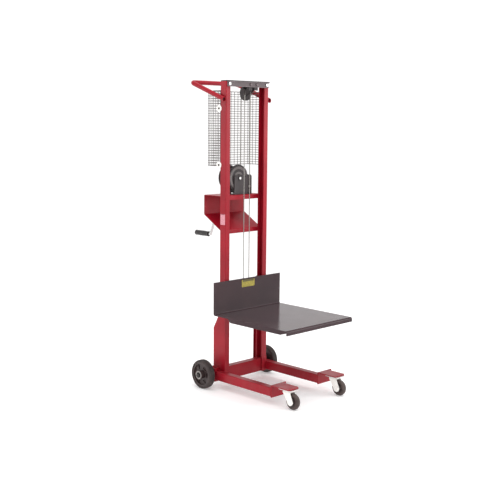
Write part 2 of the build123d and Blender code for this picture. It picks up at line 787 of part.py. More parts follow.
with BuildPart() as rope_loop:
    with BuildLine() as loop_path:
        ThreePointArc(
            (rope_dead_x, rope_y, carriage_sheave_z),
            (carriage_sheave_x, rope_y, carriage_sheave_z - carriage_sheave_pitch_radius),
            (rope_live_x, rope_y, carriage_sheave_z),
        )
    with BuildSketch(Plane(loop_path.line @ 0, z_dir=loop_path.line % 0)):
        Circle(rope_radius)
    sweep()
rope_loop.part.label = "rope_loop"
export_step(rope_loop.part, "parts/rope_loop.step")

# ---------------------------------------------------------------- push handle
handle_x = mast_half_width + handle_tube_radius
handle_slope = handle_rise / handle_back
handle_low_back = -2 * handle_tube_radius
handle_low_z = handle_front_z + handle_slope * handle_low_back
handle_high_z = handle_front_z + handle_rise
with BuildPart() as push_handle:
    with BuildLine() as handle_path:
        FilletPolyline(
            (handle_x, back(handle_low_back), handle_low_z),
            (handle_x, back(handle_back), handle_high_z),
            (-handle_x, back(handle_back), handle_high_z),
            (-handle_x, back(handle_low_back), handle_low_z),
            radius=handle_bend,
        )
    with BuildSketch(Plane(handle_path.line @ 0, z_dir=handle_path.line % 0)):
        Circle(handle_tube_radius)
        Circle(handle_tube_radius - handle_tube_wall, mode=Mode.SUBTRACT)
    sweep()
    split(bisect_by=facing(back(handle_end_back)), keep=Keep.BOTTOM)
push_handle.part.label = "push_handle"
export_step(push_handle.part, "parts/push_handle.step")

# ---------------------------------------------------------------- wire guard
# Welded mesh in three flat panels: two wings bolted beside the mast, one behind.
guard_rear = channel_depth + guard_depth
guard_mid_z = guard_bottom_z + guard_height / 2
wing_front = channel_depth
wing_length = guard_rear - guard_seam - wing_front
window = (guard_column_pitch - guard_wire, guard_row_pitch - guard_wire)
row_count = int((guard_height - guard_wire) // guard_row_pitch)
guard_bolt_zs = (guard_bottom_z + guard_bolt_low, guard_bottom_z + guard_height - guard_bolt_inset)
with BuildPart() as guard_screen:
    for _, sign in sides:
        wing_columns = int((wing_length - guard_wire) // guard_column_pitch)
        wing_x = sign * (mast_half_width - guard_sheet / 2) - guard_sheet / 2
        with BuildSketch(sideways(wing_x)):
            with Locations((back(wing_front + wing_length / 2), guard_mid_z)):
                Rectangle(wing_length, guard_height)
                with GridLocations(guard_column_pitch, guard_row_pitch, wing_columns, row_count):
                    Rectangle(*window, mode=Mode.SUBTRACT)
            for bolt_z in guard_bolt_zs:
                with Locations((back(guard_bolt_back), bolt_z)):
                    Circle(guard_bolt_radius, mode=Mode.SUBTRACT)
        extrude(amount=guard_sheet)
    panel_columns = int((2 * mast_half_width - guard_wire) // guard_column_pitch)
    with BuildSketch(facing(back(guard_rear))):
        with Locations((0, guard_mid_z)):
            Rectangle(2 * mast_half_width, guard_height)
            with GridLocations(guard_column_pitch, guard_row_pitch, panel_columns, row_count):
                Rectangle(*window, mode=Mode.SUBTRACT)
    extrude(amount=-guard_sheet)
guard_screen.part.label = "guard_screen"
export_step(guard_screen.part, "parts/guard_screen.step")

tab_outer = mast_half_width - guard_sheet
with BuildPart() as guard_tabs:
    for _, sign in sides:
        tab_low_x = sign * (tab_outer - guard_tab_sheet / 2) - guard_tab_sheet / 2
        with BuildSketch(sideways(tab_low_x)):
            for bolt_z in guard_bolt_zs:
                with Locations((back(channel_depth + guard_tab_length / 2), bolt_z)):
                    Rectangle(guard_tab_length, guard_tab_height)
                with Locations((back(guard_bolt_back), bolt_z)):
                    Circle(guard_bolt_radius, mode=Mode.SUBTRACT)
        extrude(amount=guard_tab_sheet)
guard_tabs.part.label = "guard_tabs"
export_step(guard_tabs.part, "parts/guard_tabs.step")

with BuildPart() as guard_washers:
    for _, sign in sides:
        washer_low_x = sign * (mast_half_width + washer_thickness / 2) - washer_thickness / 2
        with BuildSketch(sideways(washer_low_x)):
            for bolt_z in guard_bolt_zs:
                with Locations((back(guard_bolt_back), bolt_z)):
                    Circle(washer_radius)
                    Circle(guard_bolt_radius, mode=Mode.SUBTRACT)
        extrude(amount=washer_thickness)
guard_washers.part.label = "guard_washers"
export_step(guard_washers.part, "parts/guard_washers.step")

with BuildPart() as guard_bolts:
    washer_outer = mast_half_width + washer_thickness
    tab_inner = tab_outer - guard_tab_sheet
    for _, sign in sides:
        for start, end, radius in (
            (tab_inner, washer_outer, guard_bolt_radius),
            (washer_outer, washer_outer + guard_bolt_head, guard_bolt_head_radius),
            (tab_inner - guard_bolt_head, tab_inner, guard_bolt_head_radius),
        ):
            with BuildSketch(sideways(min(sign * start, sign * end))):
                for bolt_z in guard_bolt_zs:
                    with Locations((back(guard_bolt_back), bolt_z)):
                        Circle(radius)
            extrude(amount=end - start)
guard_bolts.part.label = "guard_bolts"
export_step(guard_bolts.part, "parts/guard_bolts.step")

# ---------------------------------------------------------------- winch shelf
# One bent sheet behind the mast: front lip, shelf, rear face, slope, lower lip.
lip_y = back(channel_depth + shelf_sheet / 2)
face_y = back(channel_depth + shelf_depth - shelf_sheet / 2)
shelf_mid_z = shelf_top_z - shelf_sheet / 2
winch_bolt_xs = (drum_x - winch_right_reach / 2, drum_x + winch_left_reach - winch_right_reach / 2)
winch_bolt_ys = (back(winch_front_back + 0.3 * winch_length), back(winch_front_back + 0.7 * winch_length))
winch_bolt_spots = [(x, y) for x in winch_bolt_xs for y in winch_bolt_ys]
with BuildPart() as winch_shelf:
    with BuildSketch(sideways(-shelf_half_width)):
        with BuildLine() as shelf_line:
            FilletPolyline(
                (lip_y, shelf_top_z - shelf_front_lip),
                (lip_y, shelf_mid_z),
                (face_y, shelf_mid_z),
                (face_y, shelf_top_z - shelf_rear_height),
                (lip_y, shelf_lower_lip_top_z),
                (lip_y, shelf_lower_lip_top_z - shelf_lower_lip),
                radius=shelf_bend,
            )
        trace(shelf_line.line, line_width=shelf_sheet)
    extrude(amount=2 * shelf_half_width)
    with BuildSketch(level(shelf_top_z - shelf_sheet)):
        with Locations(*winch_bolt_spots):
            Circle(bolt_radius)
    extrude(amount=shelf_sheet, mode=Mode.SUBTRACT)
winch_shelf.part.label = "winch_shelf"
export_step(winch_shelf.part, "parts/winch_shelf.step")

# ---------------------------------------------------------------- winch frame
winch_low_x = drum_x - winch_right_reach
winch_high_x = drum_x + winch_left_reach
winch_mid_x = (winch_low_x + winch_high_x) / 2
winch_top_z = shelf_top_z + winch_frame_height
rear_plate_back = winch_front_back + winch_length - winch_plate
winch_rear_back = winch_front_back + winch_length
ratchet_back = winch_rear_back + ratchet_gap
pawl_x = pinion_x + pawl_side
pawl_z = pinion_z + pawl_lift
with BuildPart() as winch_frame:
    with BuildSketch(level(shelf_top_z)):
        with Locations((winch_mid_x, back(winch_front_back + winch_length / 2))):
            Rectangle(winch_high_x - winch_low_x, winch_length)
        with Locations(*winch_bolt_spots):
            Circle(bolt_radius, mode=Mode.SUBTRACT)
    extrude(amount=winch_plate)
    for plate_back in (winch_front_back, rear_plate_back):
        with BuildSketch(facing(back(plate_back))) as side_plate:
            with BuildLine():
                Polyline(
                    (winch_low_x, shelf_top_z),
                    (winch_low_x, winch_top_z),
                    (winch_mid_x, winch_top_z),
                    (winch_mid_x + 2 * winch_notch_depth, winch_top_z - winch_notch_depth),
                    (winch_mid_x + 4 * winch_notch_depth, winch_top_z),
                    (winch_high_x, winch_top_z),
                    (winch_high_x, shelf_top_z),
                    close=True,
                )
            make_face()
            top_corners = side_plate.vertices().group_by(Axis.Y)[-1].sort_by(Axis.X)
            fillet([top_corners[0], top_corners[-1]], drum_hub_radius)
            with Locations((drum_x, drum_z)):
                Circle(drum_shaft_radius, mode=Mode.SUBTRACT)
            with Locations((pinion_x, pinion_z)):
                Circle(drum_shaft_radius + running_gap, mode=Mode.SUBTRACT)
        extrude(amount=-winch_plate)
    # The pawl's stud, with a shoulder and a head.
    for start_back, end_back, radius in (
        (winch_rear_back, ratchet_back - side_gap, pawl_pin_radius + pawl_pin_head),
        (ratchet_back - side_gap, ratchet_back + ratchet_width + side_gap, pawl_pin_radius),
        (
            ratchet_back + ratchet_width + side_gap,
            ratchet_back + ratchet_width + side_gap + pawl_pin_head,
            pawl_pin_radius + pawl_pin_head,
        ),
    ):
        with BuildSketch(facing(back(start_back))):
            with Locations((pawl_x, pawl_z)):
                Circle(radius)
        extrude(amount=start_back - end_back)
winch_frame.part.label = "winch_frame"
export_step(winch_frame.part, "parts/winch_frame.step")

with BuildPart() as drum_shaft:
    for start_back, end_back, radius, corners in (
        (winch_front_back, winch_rear_back, drum_shaft_radius, 0),
        (winch_front_back - bolt_head, winch_front_back, drum_shaft_radius + bolt_end, 6),
        (winch_rear_back, winch_rear_back + bolt_head, drum_shaft_radius + bolt_end, 6),
    ):
        with BuildSketch(facing(back(start_back))):
            with Locations((drum_x, drum_z)):
                if corners:
                    RegularPolygon(radius, corners)
                else:
                    Circle(radius)
        extrude(amount=start_back - end_back)
drum_shaft.part.label = "drum_shaft"
export_step(drum_shaft.part, "parts/drum_shaft.step")


# ---------------------------------------------------------------- gears and drum
def tooth_points(centre, teeth, first_tooth):
    """Outline of a spur gear: four points a tooth, one tooth centred at first_tooth degrees."""
    pitch_radius = gear_module * teeth / 2
    tip_radius = pitch_radius + tooth_height_share * gear_module
    root_radius = pitch_radius - tooth_root_share * gear_module
    step = 360 / teeth
    points = []
    for tooth in range(teeth):
        for radius, share in (
            (root_radius, -tooth_base_share),
            (tip_radius, -tooth_tip_share),
            (tip_radius, tooth_tip_share),
            (root_radius, tooth_base_share),
        ):
            angle = math.radians(first_tooth + (tooth + share) * step)
            points.append((centre[0] + radius * math.cos(angle), centre[1] + radius * math.sin(angle)))
    return points


gear_back = winch_front_back + winch_plate + gear_offset
drum_front_back = gear_back + gear_width
core_front_back = drum_front_back + drum_flange
core_rear_back = core_front_back + drum_core_length
with BuildPart() as drum_gear:
    with BuildSketch(facing(back(gear_back))):
        with BuildLine():
            Polyline(*tooth_points((drum_x, drum_z), gear_teeth, -mesh_angle), close=True)
        make_face()
        with Locations((drum_x, drum_z)):
            Circle(drum_hub_radius, mode=Mode.SUBTRACT)
    extrude(amount=-gear_width)
drum_gear.part.label = "drum_gear"
export_step(drum_gear.part, "parts/drum_gear.step")

with BuildPart() as winch_drum:
    for start_back, end_back, radius in (
        (winch_front_back + winch_plate + side_gap, rear_plate_back - side_gap, drum_hub_radius),
        (drum_front_back, core_front_back, drum_flange_radius),
        (core_front_back, core_rear_back, drum_core_radius),
        (core_rear_back, core_rear_back + drum_flange, drum_flange_radius),
    ):
        with BuildSketch(facing(back(start_back))):
            with Locations((drum_x, drum_z)):
                Circle(radius)
        extrude(amount=start_back - end_back)
    with BuildSketch(facing(back(winch_front_back))):
        with Locations((drum_x, drum_z)):
            Circle(drum_shaft_radius + running_gap)
    extrude(amount=-winch_length, mode=Mode.SUBTRACT)
winch_drum.part.label = "winch_drum"
export_step(winch_drum.part, "parts/winch_drum.step")

# The rope on the drum, as the closed shape of its one layer of turns.
wound_start_y = rope_riser_y + rope_radius + rope_gap
with BuildPart() as wound_rope:
    with BuildSketch(facing(wound_start_y)):
        with Locations((drum_x, drum_z)):
            Circle(drum_core_radius + 2 * rope_radius)
            Circle(drum_core_radius, mode=Mode.SUBTRACT)
    extrude(amount=-2 * rope_radius * wound_turns)
wound_rope.part.label = "wound_rope"
export_step(wound_rope.part, "parts/wound_rope.step")

# ---------------------------------------------------------------- pinion shaft and ratchet
pinion_back = gear_back - pinion_extra_width
ratchet_points = []
for tooth in range(ratchet_teeth):
    face_angle = math.radians(tooth * 360 / ratchet_teeth)
    for radius in (ratchet_root_radius, ratchet_radius):
        ratchet_points.append(
            (pinion_x + radius * math.cos(face_angle), pinion_z + radius * math.sin(face_angle))
        )
with BuildPart() as pinion_shaft:
    shaft_end_back = crank_back + crank_bar + crank_nut + bolt_end
    with BuildSketch(facing(back(winch_front_back - bolt_end))):
        with Locations((pinion_x, pinion_z)):
            Circle(drum_shaft_radius)
    extrude(amount=winch_front_back - bolt_end - shaft_end_back)
    with BuildSketch(facing(back(pinion_back))):
        with BuildLine():
            first_tooth = 180 - mesh_angle + 180 / pinion_teeth
            Polyline(*tooth_points((pinion_x, pinion_z), pinion_teeth, first_tooth), close=True)
        make_face()
    extrude(amount=-(gear_width + pinion_extra_width))
    with BuildSketch(facing(back(ratchet_back))):
        with BuildLine():
            Polyline(*ratchet_points, close=True)
        make_face()
    extrude(amount=-ratchet_width)
pinion_shaft.part.label = "pinion_shaft"
export_step(pinion_shaft.part, "parts/pinion_shaft.step")

pawl_tip_reach = ratchet_radius + pawl_tip_gap + pawl_tip_radius
pawl_tip_x = pinion_x + pawl_tip_reach * math.cos(math.radians(pawl_tip_angle))
pawl_tip_z = pinion_z + pawl_tip_reach * math.sin(math.radians(pawl_tip_angle))
with BuildPart() as pawl:
    with BuildSketch(facing(back(ratchet_back))):
        with BuildLine():
            CenterArc((pawl_x, pawl_z), pawl_eye_radius, 0, 360)
            CenterArc((pawl_tip_x, pawl_tip_z), pawl_tip_radius, 0, 360)
        make_hull()
        with Locations((pawl_x, pawl_z)):
            Circle(pawl_pin_radius + running_gap, mode=Mode.SUBTRACT)
    extrude(amount=-ratchet_width)
pawl.part.label = "pawl"
export_step(pawl.part, "parts/pawl.step")

# ---------------------------------------------------------------- crank
hang = math.radians(crank_hang)
grip_x = pinion_x - crank_radius * math.sin(hang)
grip_z = pinion_z - crank_radius * math.cos(hang)
with BuildPart() as crank_arm:
    with BuildSketch(facing(back(crank_back))):
        with Locations(((pinion_x + grip_x) / 2, (pinion_z + grip_z) / 2)):
            SlotCenterToCenter(crank_radius, crank_bar_width, rotation=-90 - crank_hang)
    extrude(amount=-crank_bar)
    with BuildSketch(facing(back(crank_back + crank_bar - crank_hub_length))):
        with Locations((pinion_x, pinion_z)):
            Circle(crank_hub_radius)
    extrude(amount=-crank_hub_length)
    for start_back, end_back, radius in (
        (crank_back + crank_bar, crank_front_reach - side_gap, crank_bar_width / 2),
        (crank_front_reach - side_gap, crank_front_reach + grip_length + side_gap, grip_pin_radius),
        (crank_front_reach + grip_length + side_gap, grip_end_back, crank_bar_width / 2),
    ):
        with BuildSketch(facing(back(start_back))):
            with Locations((grip_x, grip_z)):
                Circle(radius)
        extrude(amount=start_back - end_back)
    with BuildSketch(facing(back(crank_back + crank_bar - crank_hub_length))):
        with Locations((pinion_x, pinion_z)):
            Circle(drum_shaft_radius)
    extrude(amount=-crank_hub_length, mode=Mode.SUBTRACT)
crank_arm.part.label = "crank_arm"
export_step(crank_arm.part, "parts/crank_arm.step")

with BuildPart() as crank_nut_part:
    with BuildSketch(facing(back(crank_back + crank_bar))):
        with Locations((pinion_x, pinion_z)):
            RegularPolygon(crank_nut_radius, 6)
            Circle(drum_shaft_radius, mode=Mode.SUBTRACT)
    extrude(amount=-crank_nut)
crank_nut_part.part.label = "crank_nut"
export_step(crank_nut_part.part, "parts/crank_nut.step")

with BuildPart() as crank_grip:
    with BuildSketch(facing(back(crank_front_reach))):
        with Locations((grip_x, grip_z)):
            Circle(grip_radius)
            Circle(grip_pin_radius + running_gap, mode=Mode.SUBTRACT)
    extrude(amount=-grip_length)
    outer_rims = crank_grip.edges().filter_by(GeomType.CIRCLE).sort_by(SortBy.RADIUS)[-2:]
    fillet(outer_rims, grip_radius / 4)
crank_grip.part.label = "crank_grip"
export_step(crank_grip.part, "parts/crank_grip.step")

# ---------------------------------------------------------------- platform
plate_line_y = back(platform_sheet / 2 - back_plate_ahead)
deck_line_z = platform_z - platform_sheet / 2
front_line_y = back(platform_sheet / 2 - back_plate_ahead - platform_length)
lip_low_z = platform_z - platform_lip
with BuildPart() as platform:
    with BuildSketch(sideways(-platform_half_width)):
        with BuildLine() as platform_line:
            FilletPolyline(
                (plate_line_y, platform_z + back_plate_height),
                (plate_line_y, deck_line_z),
                (front_line_y, deck_line_z),
                (front_line_y, lip_low_z),
                radius=platform_bend,
            )
        trace(platform_line.line, line_width=platform_sheet)
    extrude(amount=2 * platform_half_width)
    for lip_x in (-platform_half_width, platform_half_width - platform_sheet):
        with BuildSketch(sideways(lip_x)):
            lip_start_y = back(-back_plate_ahead - side_lip_start)
            lip_end_y = back(-back_plate_ahead - platform_length + side_lip_end_gap)
            with BuildLine():
                Polyline(
                    (lip_start_y, platform_z - platform_sheet),
                    (lip_start_y - side_lip_slant, lip_low_z),
                    (lip_end_y, lip_low_z),
                    (lip_end_y, platform_z - platform_sheet),
                    close=True,
                )
            make_face()
        extrude(amount=platform_sheet)
platform.part.label = "platform"
export_step(platform.part, "parts/platform.step")

# ---------------------------------------------------------------- carriage
bar_outer = mast_half_width - channel_flange - bar_side_gap
bar_front_y = back(platform_sheet - back_plate_ahead)
bar_rear_y = back(channel_depth - bar_rear_gap)
bar_low_z = platform_z + bar_above_platform
roller_y = back(channel_depth / 2)
roller_zs = {
    "lower": bar_low_z + roller_end_inset,
    "upper": bar_low_z + bar_height - roller_end_inset,
}
with BuildPart() as carriage_bars:
    for _, sign in sides:
        with BuildSketch(sideways(min(sign * bar_outer, sign * (bar_outer - bar_thickness)))):
            with Locations(((bar_front_y + bar_rear_y) / 2, bar_low_z + bar_height / 2)):
                Rectangle(bar_rear_y - bar_front_y, bar_height)
            for roller_z in roller_zs.values():
                with Locations((roller_y, roller_z)):
                    Circle(roller_pin_radius, mode=Mode.SUBTRACT)
        extrude(amount=bar_thickness)
carriage_bars.part.label = "carriage_bars"
export_step(carriage_bars.part, "parts/carriage_bars.step")

roller_outer = mast_half_width - channel_wall - roller_web_gap
roller_inner = roller_outer - roller_width
with BuildPart() as roller_pins:
    for _, sign in sides:
        for roller_z in roller_zs.values():
            for start, end, radius in (
                (bar_outer - bar_thickness, roller_outer + roller_web_gap / 2, roller_pin_radius),
                (bar_outer, roller_inner - side_gap, roller_pin_radius + pawl_pin_head),
                (bar_outer - bar_thickness - bolt_end, bar_outer - bar_thickness, bolt_head_radius),
            ):
                with BuildSketch(sideways(min(sign * start, sign * end))):
                    with Locations((roller_y, roller_z)):
                        Circle(radius)
                extrude(amount=end - start)
roller_pins.part.label = "roller_pins"
export_step(roller_pins.part, "parts/roller_pins.step")

roller_radius = channel_depth / 2 - channel_wall - roller_gap
for side, sign in sides:
    for place, roller_z in roller_zs.items():
        with BuildPart() as guide_roller:
            with BuildSketch(sideways(min(sign * roller_inner, sign * roller_outer))):
                with Locations((roller_y, roller_z)):
                    Circle(roller_radius)
                    Circle(roller_pin_radius + running_gap, mode=Mode.SUBTRACT)
            extrude(amount=roller_width)
            rims = guide_roller.edges().filter_by(GeomType.CIRCLE).sort_by(SortBy.RADIUS)[-2:]
            chamfer(rims, roller_web_gap / 2)
        guide_roller.part.label = f"guide_roller_{place}_{side}"
        export_step(guide_roller.part, f"parts/guide_roller_{place}_{side}.step")

crossbar_low_z = platform_z + crossbar_above_platform
crossbar_top_z = crossbar_low_z + crossbar_height
with BuildPart() as carriage_crossbar:
    crossbar_half = bar_outer - bar_thickness
    with BuildSketch(sideways(-crossbar_half)):
        with Locations((rope_y, crossbar_low_z + crossbar_height / 2)):
            Rectangle(crossbar_depth, crossbar_height)
    extrude(amount=2 * crossbar_half)
    for cheek_y in (rope_y - crossbar_depth / 2, rope_y + crossbar_depth / 2 - clevis_sheet):
        with BuildSketch(facing(cheek_y)):
            with Locations((carriage_sheave_x, (crossbar_top_z + carriage_sheave_z) / 2)):
                Rectangle(2 * clevis_half_width, carriage_sheave_z - crossbar_top_z)
            with Locations((carriage_sheave_x, carriage_sheave_z)):
                Circle(clevis_half_width)
                Circle(carriage_pin_radius, mode=Mode.SUBTRACT)
        extrude(amount=-clevis_sheet)
carriage_crossbar.part.label = "carriage_crossbar"
export_step(carriage_crossbar.part, "parts/carriage_crossbar.step")

with BuildPart() as carriage_sheave_pin:
    with BuildSketch(facing(rope_y - crossbar_depth / 2)):
        with Locations((carriage_sheave_x, carriage_sheave_z)):
            Circle(carriage_pin_radius)
    extrude(amount=-crossbar_depth)
    for head_y in (rope_y - crossbar_depth / 2 - bolt_end, rope_y + crossbar_depth / 2):
        with BuildSketch(facing(head_y)):
            with Locations((carriage_sheave_x, carriage_sheave_z)):
                Circle(bolt_head_radius)
        extrude(amount=-bolt_end)
carriage_sheave_pin.part.label = "carriage_sheave_pin"
export_step(carriage_sheave_pin.part, "parts/carriage_sheave_pin.step")

carriage_rim = carriage_sheave_pitch_radius + sheave_rim
with BuildPart() as carriage_sheave:
    with BuildSketch(level(carriage_sheave_z)):
        with Locations((carriage_sheave_x + carriage_rim / 2, rope_y)):
            Rectangle(carriage_rim, carriage_sheave_width)
        with Locations((carriage_sheave_x + carriage_sheave_pitch_radius, rope_y)):
            Circle(groove_radius, mode=Mode.SUBTRACT)
        with Locations((carriage_sheave_x + carriage_sheave_pitch_radius + sheave_rim / 2, rope_y)):
            Rectangle(sheave_rim, 2 * groove_radius, mode=Mode.SUBTRACT)
    revolve(axis=Axis((carriage_sheave_x, rope_y, carriage_sheave_z), (0, 1, 0)))
    boss_length = crossbar_depth - 2 * clevis_sheet - 2 * side_gap
    with BuildSketch(facing(rope_y - boss_length / 2)):
        with Locations((carriage_sheave_x, carriage_sheave_z)):
            Circle(carriage_pin_radius + clevis_sheet)
    extrude(amount=-boss_length)
    with BuildSketch(facing(rope_y - boss_length / 2)):
        with Locations((carriage_sheave_x, carriage_sheave_z)):
            Circle(carriage_pin_radius + running_gap)
    extrude(amount=-boss_length, mode=Mode.SUBTRACT)
carriage_sheave.part.label = "carriage_sheave"
export_step(carriage_sheave.part, "parts/carriage_sheave.step")

# ---------------------------------------------------------------- labels
with BuildPart() as capacity_label:
    with BuildSketch(facing(back(-back_plate_ahead))):
        with Locations((0, platform_z + back_plate_height - capacity_label_drop)):
            RectangleRounded(capacity_label_width, capacity_label_height, platform_sheet)
    extrude(amount=label_thickness)
capacity_label.part.label = "capacity_label"
export_step(capacity_label.part, "parts/capacity_label.step")

with BuildPart() as rating_label:
    with BuildSketch(sideways(-mast_half_width - label_thickness)):
        with Locations((back(channel_depth / 2), rating_label_z)):
            RectangleRounded(rating_label_width, rating_label_height, channel_bend)
    extrude(amount=label_thickness)
rating_label.part.label = "rating_label"
export_step(rating_label.part, "parts/rating_label.step")

# ---------------------------------------------------------------- frame bolts
# Hexagon bolts with their nuts: four through the head channel, four through the
# winch's base and the shelf.
with BuildPart() as frame_bolts:
    joint_front = -head_channel_wall
    joint_rear = channel_wall
    for start_back, end_back, radius, corners in (
        (joint_front, joint_rear, bolt_radius, 0),
        (joint_front - bolt_head, joint_front, bolt_head_radius, 6),
        (joint_rear, joint_rear + bolt_head, bolt_head_radius, 6),
    ):
        with BuildSketch(facing(back(start_back))):
            with Locations(*[(x, head_bolt_z) for x in head_bolt_xs]):
                if corners:
                    RegularPolygon(radius, corners)
                else:
                    Circle(radius)
        extrude(amount=start_back - end_back)
    for low_z, high_z, radius, corners in (
        (shelf_top_z - shelf_sheet, shelf_top_z + winch_plate, bolt_radius, 0),
        (shelf_top_z + winch_plate, shelf_top_z + winch_plate + bolt_head, bolt_head_radius, 6),
        (shelf_top_z - shelf_sheet - bolt_head, shelf_top_z - shelf_sheet, bolt_head_radius, 6),
    ):
        with BuildSketch(level(low_z)):
            with Locations(*winch_bolt_spots):
                if corners:
                    RegularPolygon(radius, corners)
                else:
                    Circle(radius)
        extrude(amount=high_z - low_z)
frame_bolts.part.label = "frame_bolts"
export_step(frame_bolts.part, "parts/frame_bolts.step")
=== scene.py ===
# %% [markdown]
# # A hand-winch platform lift truck
# The real machine is a red welded steel mast on two legs. A bent-plate deck rides up the mast
# on rollers, pulled by a wire rope from a hand winch. This lesson dresses the machine's solid
# model: plates and channels keep their shape and get a finish, and whatever a solid model
# leaves plain, such as rope, wire mesh, tyres and welds, is worked out here as surfaces.

import bmesh
import bpy
import numpy as np
from mathutils import Matrix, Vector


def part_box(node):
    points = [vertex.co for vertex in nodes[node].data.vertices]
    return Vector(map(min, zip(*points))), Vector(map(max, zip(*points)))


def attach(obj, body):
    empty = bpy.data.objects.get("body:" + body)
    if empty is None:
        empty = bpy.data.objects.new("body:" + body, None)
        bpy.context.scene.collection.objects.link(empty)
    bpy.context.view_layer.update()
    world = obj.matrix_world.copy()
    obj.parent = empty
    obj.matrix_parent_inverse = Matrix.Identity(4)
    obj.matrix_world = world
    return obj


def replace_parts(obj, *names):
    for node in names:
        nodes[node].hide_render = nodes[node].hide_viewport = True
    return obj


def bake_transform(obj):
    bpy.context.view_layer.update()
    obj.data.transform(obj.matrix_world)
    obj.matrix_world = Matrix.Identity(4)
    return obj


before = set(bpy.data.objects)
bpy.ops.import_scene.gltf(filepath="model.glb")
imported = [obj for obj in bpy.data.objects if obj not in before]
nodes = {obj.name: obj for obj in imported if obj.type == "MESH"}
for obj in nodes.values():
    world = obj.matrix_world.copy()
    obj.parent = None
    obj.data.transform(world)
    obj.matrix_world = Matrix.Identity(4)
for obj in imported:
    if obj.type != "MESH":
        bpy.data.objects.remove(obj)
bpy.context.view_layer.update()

MM = 0.001
AXIS_X, AXIS_Y, AXIS_Z = np.eye(3)


def corners(node):
    """Lowest and highest corner of one solid, as two arrays."""
    low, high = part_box(node)
    return np.array(low), np.array(high)


def middle(node):
    """Centre of one solid's box."""
    low, high = corners(node)
    return (low + high) / 2


# %% [markdown]
# ## Surfaces from formulas
# Every new piece is a grid of points: one direction runs along the piece and the other runs
# round it. Numpy computes the whole grid at once. Two families cover the machine: a section
# carried along a path (rope, wire, weld beads) and an outline turned about an axis (tyres,
# grip, bolts). Modelling by hand would give the same shapes but no way to change a size later.

# %% Grid helpers
def grid_faces(rows, columns, ring_rows=False, ring_columns=True):
    """Quads between neighbours in a grid of points numbered row by row."""
    row = np.arange(rows if ring_rows else rows - 1)[:, None]
    column = np.arange(columns if ring_columns else columns - 1)[None, :]
    next_row = (row + 1) % rows
    next_column = (column + 1) % columns
    quads = np.stack(
        np.broadcast_arrays(
            row * columns + column,
            row * columns + next_column,
            next_row * columns + next_column,
            next_row * columns + column,
        ),
        axis=-1,
    )
    return quads.reshape(-1, 4).tolist()


def unit(vectors):
    """Vectors divided by their lengths."""
    return vectors / np.linalg.norm(vectors, axis=-1, keepdims=True)


def carried(path, side, section):
    """Point = path + a * side + b * up, where (a, b) is the section and up is side x tangent."""
    path = np.asarray(path, float)
    tangent = unit(np.gradient(path, axis=0))
    side = np.broadcast_to(side, path.shape)
    up = np.cross(tangent, side)
    section = np.broadcast_to(section, (len(path), *np.shape(section)[-2:]))
    points = path[:, None] + section[..., :1] * side[:, None] + section[..., 1:] * up[:, None]
    rows, columns = points.shape[:2]
    ends = [list(range(columns))[::-1], list(range((rows - 1) * columns, rows * columns))]
    return points.reshape(-1, 3), grid_faces(rows, columns) + ends


def turned(centre, axis, outline, sides=64, closed=False, shape=1.0):
    """Point = centre + height * axis + radius * shape * (cos t, sin t) about the axis.

    An open outline starts and ends on the axis, so its poles close; a closed one is a ring.
    """
    outline = np.asarray(outline, float)
    turn = np.linspace(0, 2 * np.pi, sides, endpoint=False)
    first = np.roll(axis, 1)
    second = np.roll(axis, 2)
    around = np.cos(turn)[:, None] * first + np.sin(turn)[:, None] * second
    radius = outline[:, :1] * shape * np.ones(sides)
    points = centre + outline[:, 1, None, None] * axis + radius[..., None] * around
    return points.reshape(-1, 3), grid_faces(len(outline), sides, ring_rows=closed)


def circle(radius, sides):
    """A round section of that radius, as (a, b) points."""
    turn = np.linspace(0, 2 * np.pi, sides, endpoint=False)
    return radius * np.stack([np.cos(turn), np.sin(turn)], axis=-1)


def line(start, end, step):
    """Evenly spaced points from start to end, about one step apart."""
    start, end = np.asarray(start, float), np.asarray(end, float)
    count = max(2, int(round(np.linalg.norm(end - start) / step)) + 1)
    return start + np.linspace(0, 1, count)[:, None] * (end - start)


def arc(centre, first, second, radius, from_degrees, to_degrees, count):
    """Point = centre + radius * (cos t * first + sin t * second), t between two angles."""
    turn = np.radians(np.linspace(from_degrees, to_degrees, count))[:, None]
    return centre + radius * (np.cos(turn) * first + np.sin(turn) * second)


def make_piece(name, shells, material, body, merge=True, crease=32, values=None):
    """Join shells (points, faces) into one mesh that rides on a body, its faces outwards."""
    points, faces, start = [], [], 0
    for shell_points, shell_faces in shells:
        points.append(shell_points)
        faces.extend([[index + start for index in face] for face in shell_faces])
        start += len(shell_points)
    mesh = bpy.data.meshes.new(name)
    mesh.from_pydata(np.concatenate(points).tolist(), [], faces)
    work = bmesh.new()
    work.from_mesh(mesh)
    if merge:
        bmesh.ops.remove_doubles(work, verts=work.verts, dist=0.002 * MM)
    bmesh.ops.recalc_face_normals(work, faces=work.faces)
    work.to_mesh(mesh)
    work.free()
    mesh.shade_smooth()
    mesh.set_sharp_from_angle(angle=np.radians(crease))
    for key, numbers in (values or {}).items():
        layer = mesh.attributes.new(key, "FLOAT", "POINT")
        layer.data.foreach_set("value", np.concatenate(numbers).astype(np.float32))
    mesh.materials.append(material)
    piece = bpy.data.objects.new(name, mesh)
    bpy.context.scene.collection.objects.link(piece)
    if body:
        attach(piece, body)
    print(f"{name}: {len(mesh.vertices)} points, {len(mesh.polygons)} faces")
    return piece


print("a tube of 3 rings with 4 points each has", len(grid_faces(3, 4)), "faces")

# %% [markdown]
# ## Colours and shader nodes
# Paint makers and screens give colours as sRGB hex, while a renderer adds up light in linear
# numbers, so one function turns one into the other. A second function adds any shader node
# with its inputs, which keeps each finish below short enough to read as a recipe.

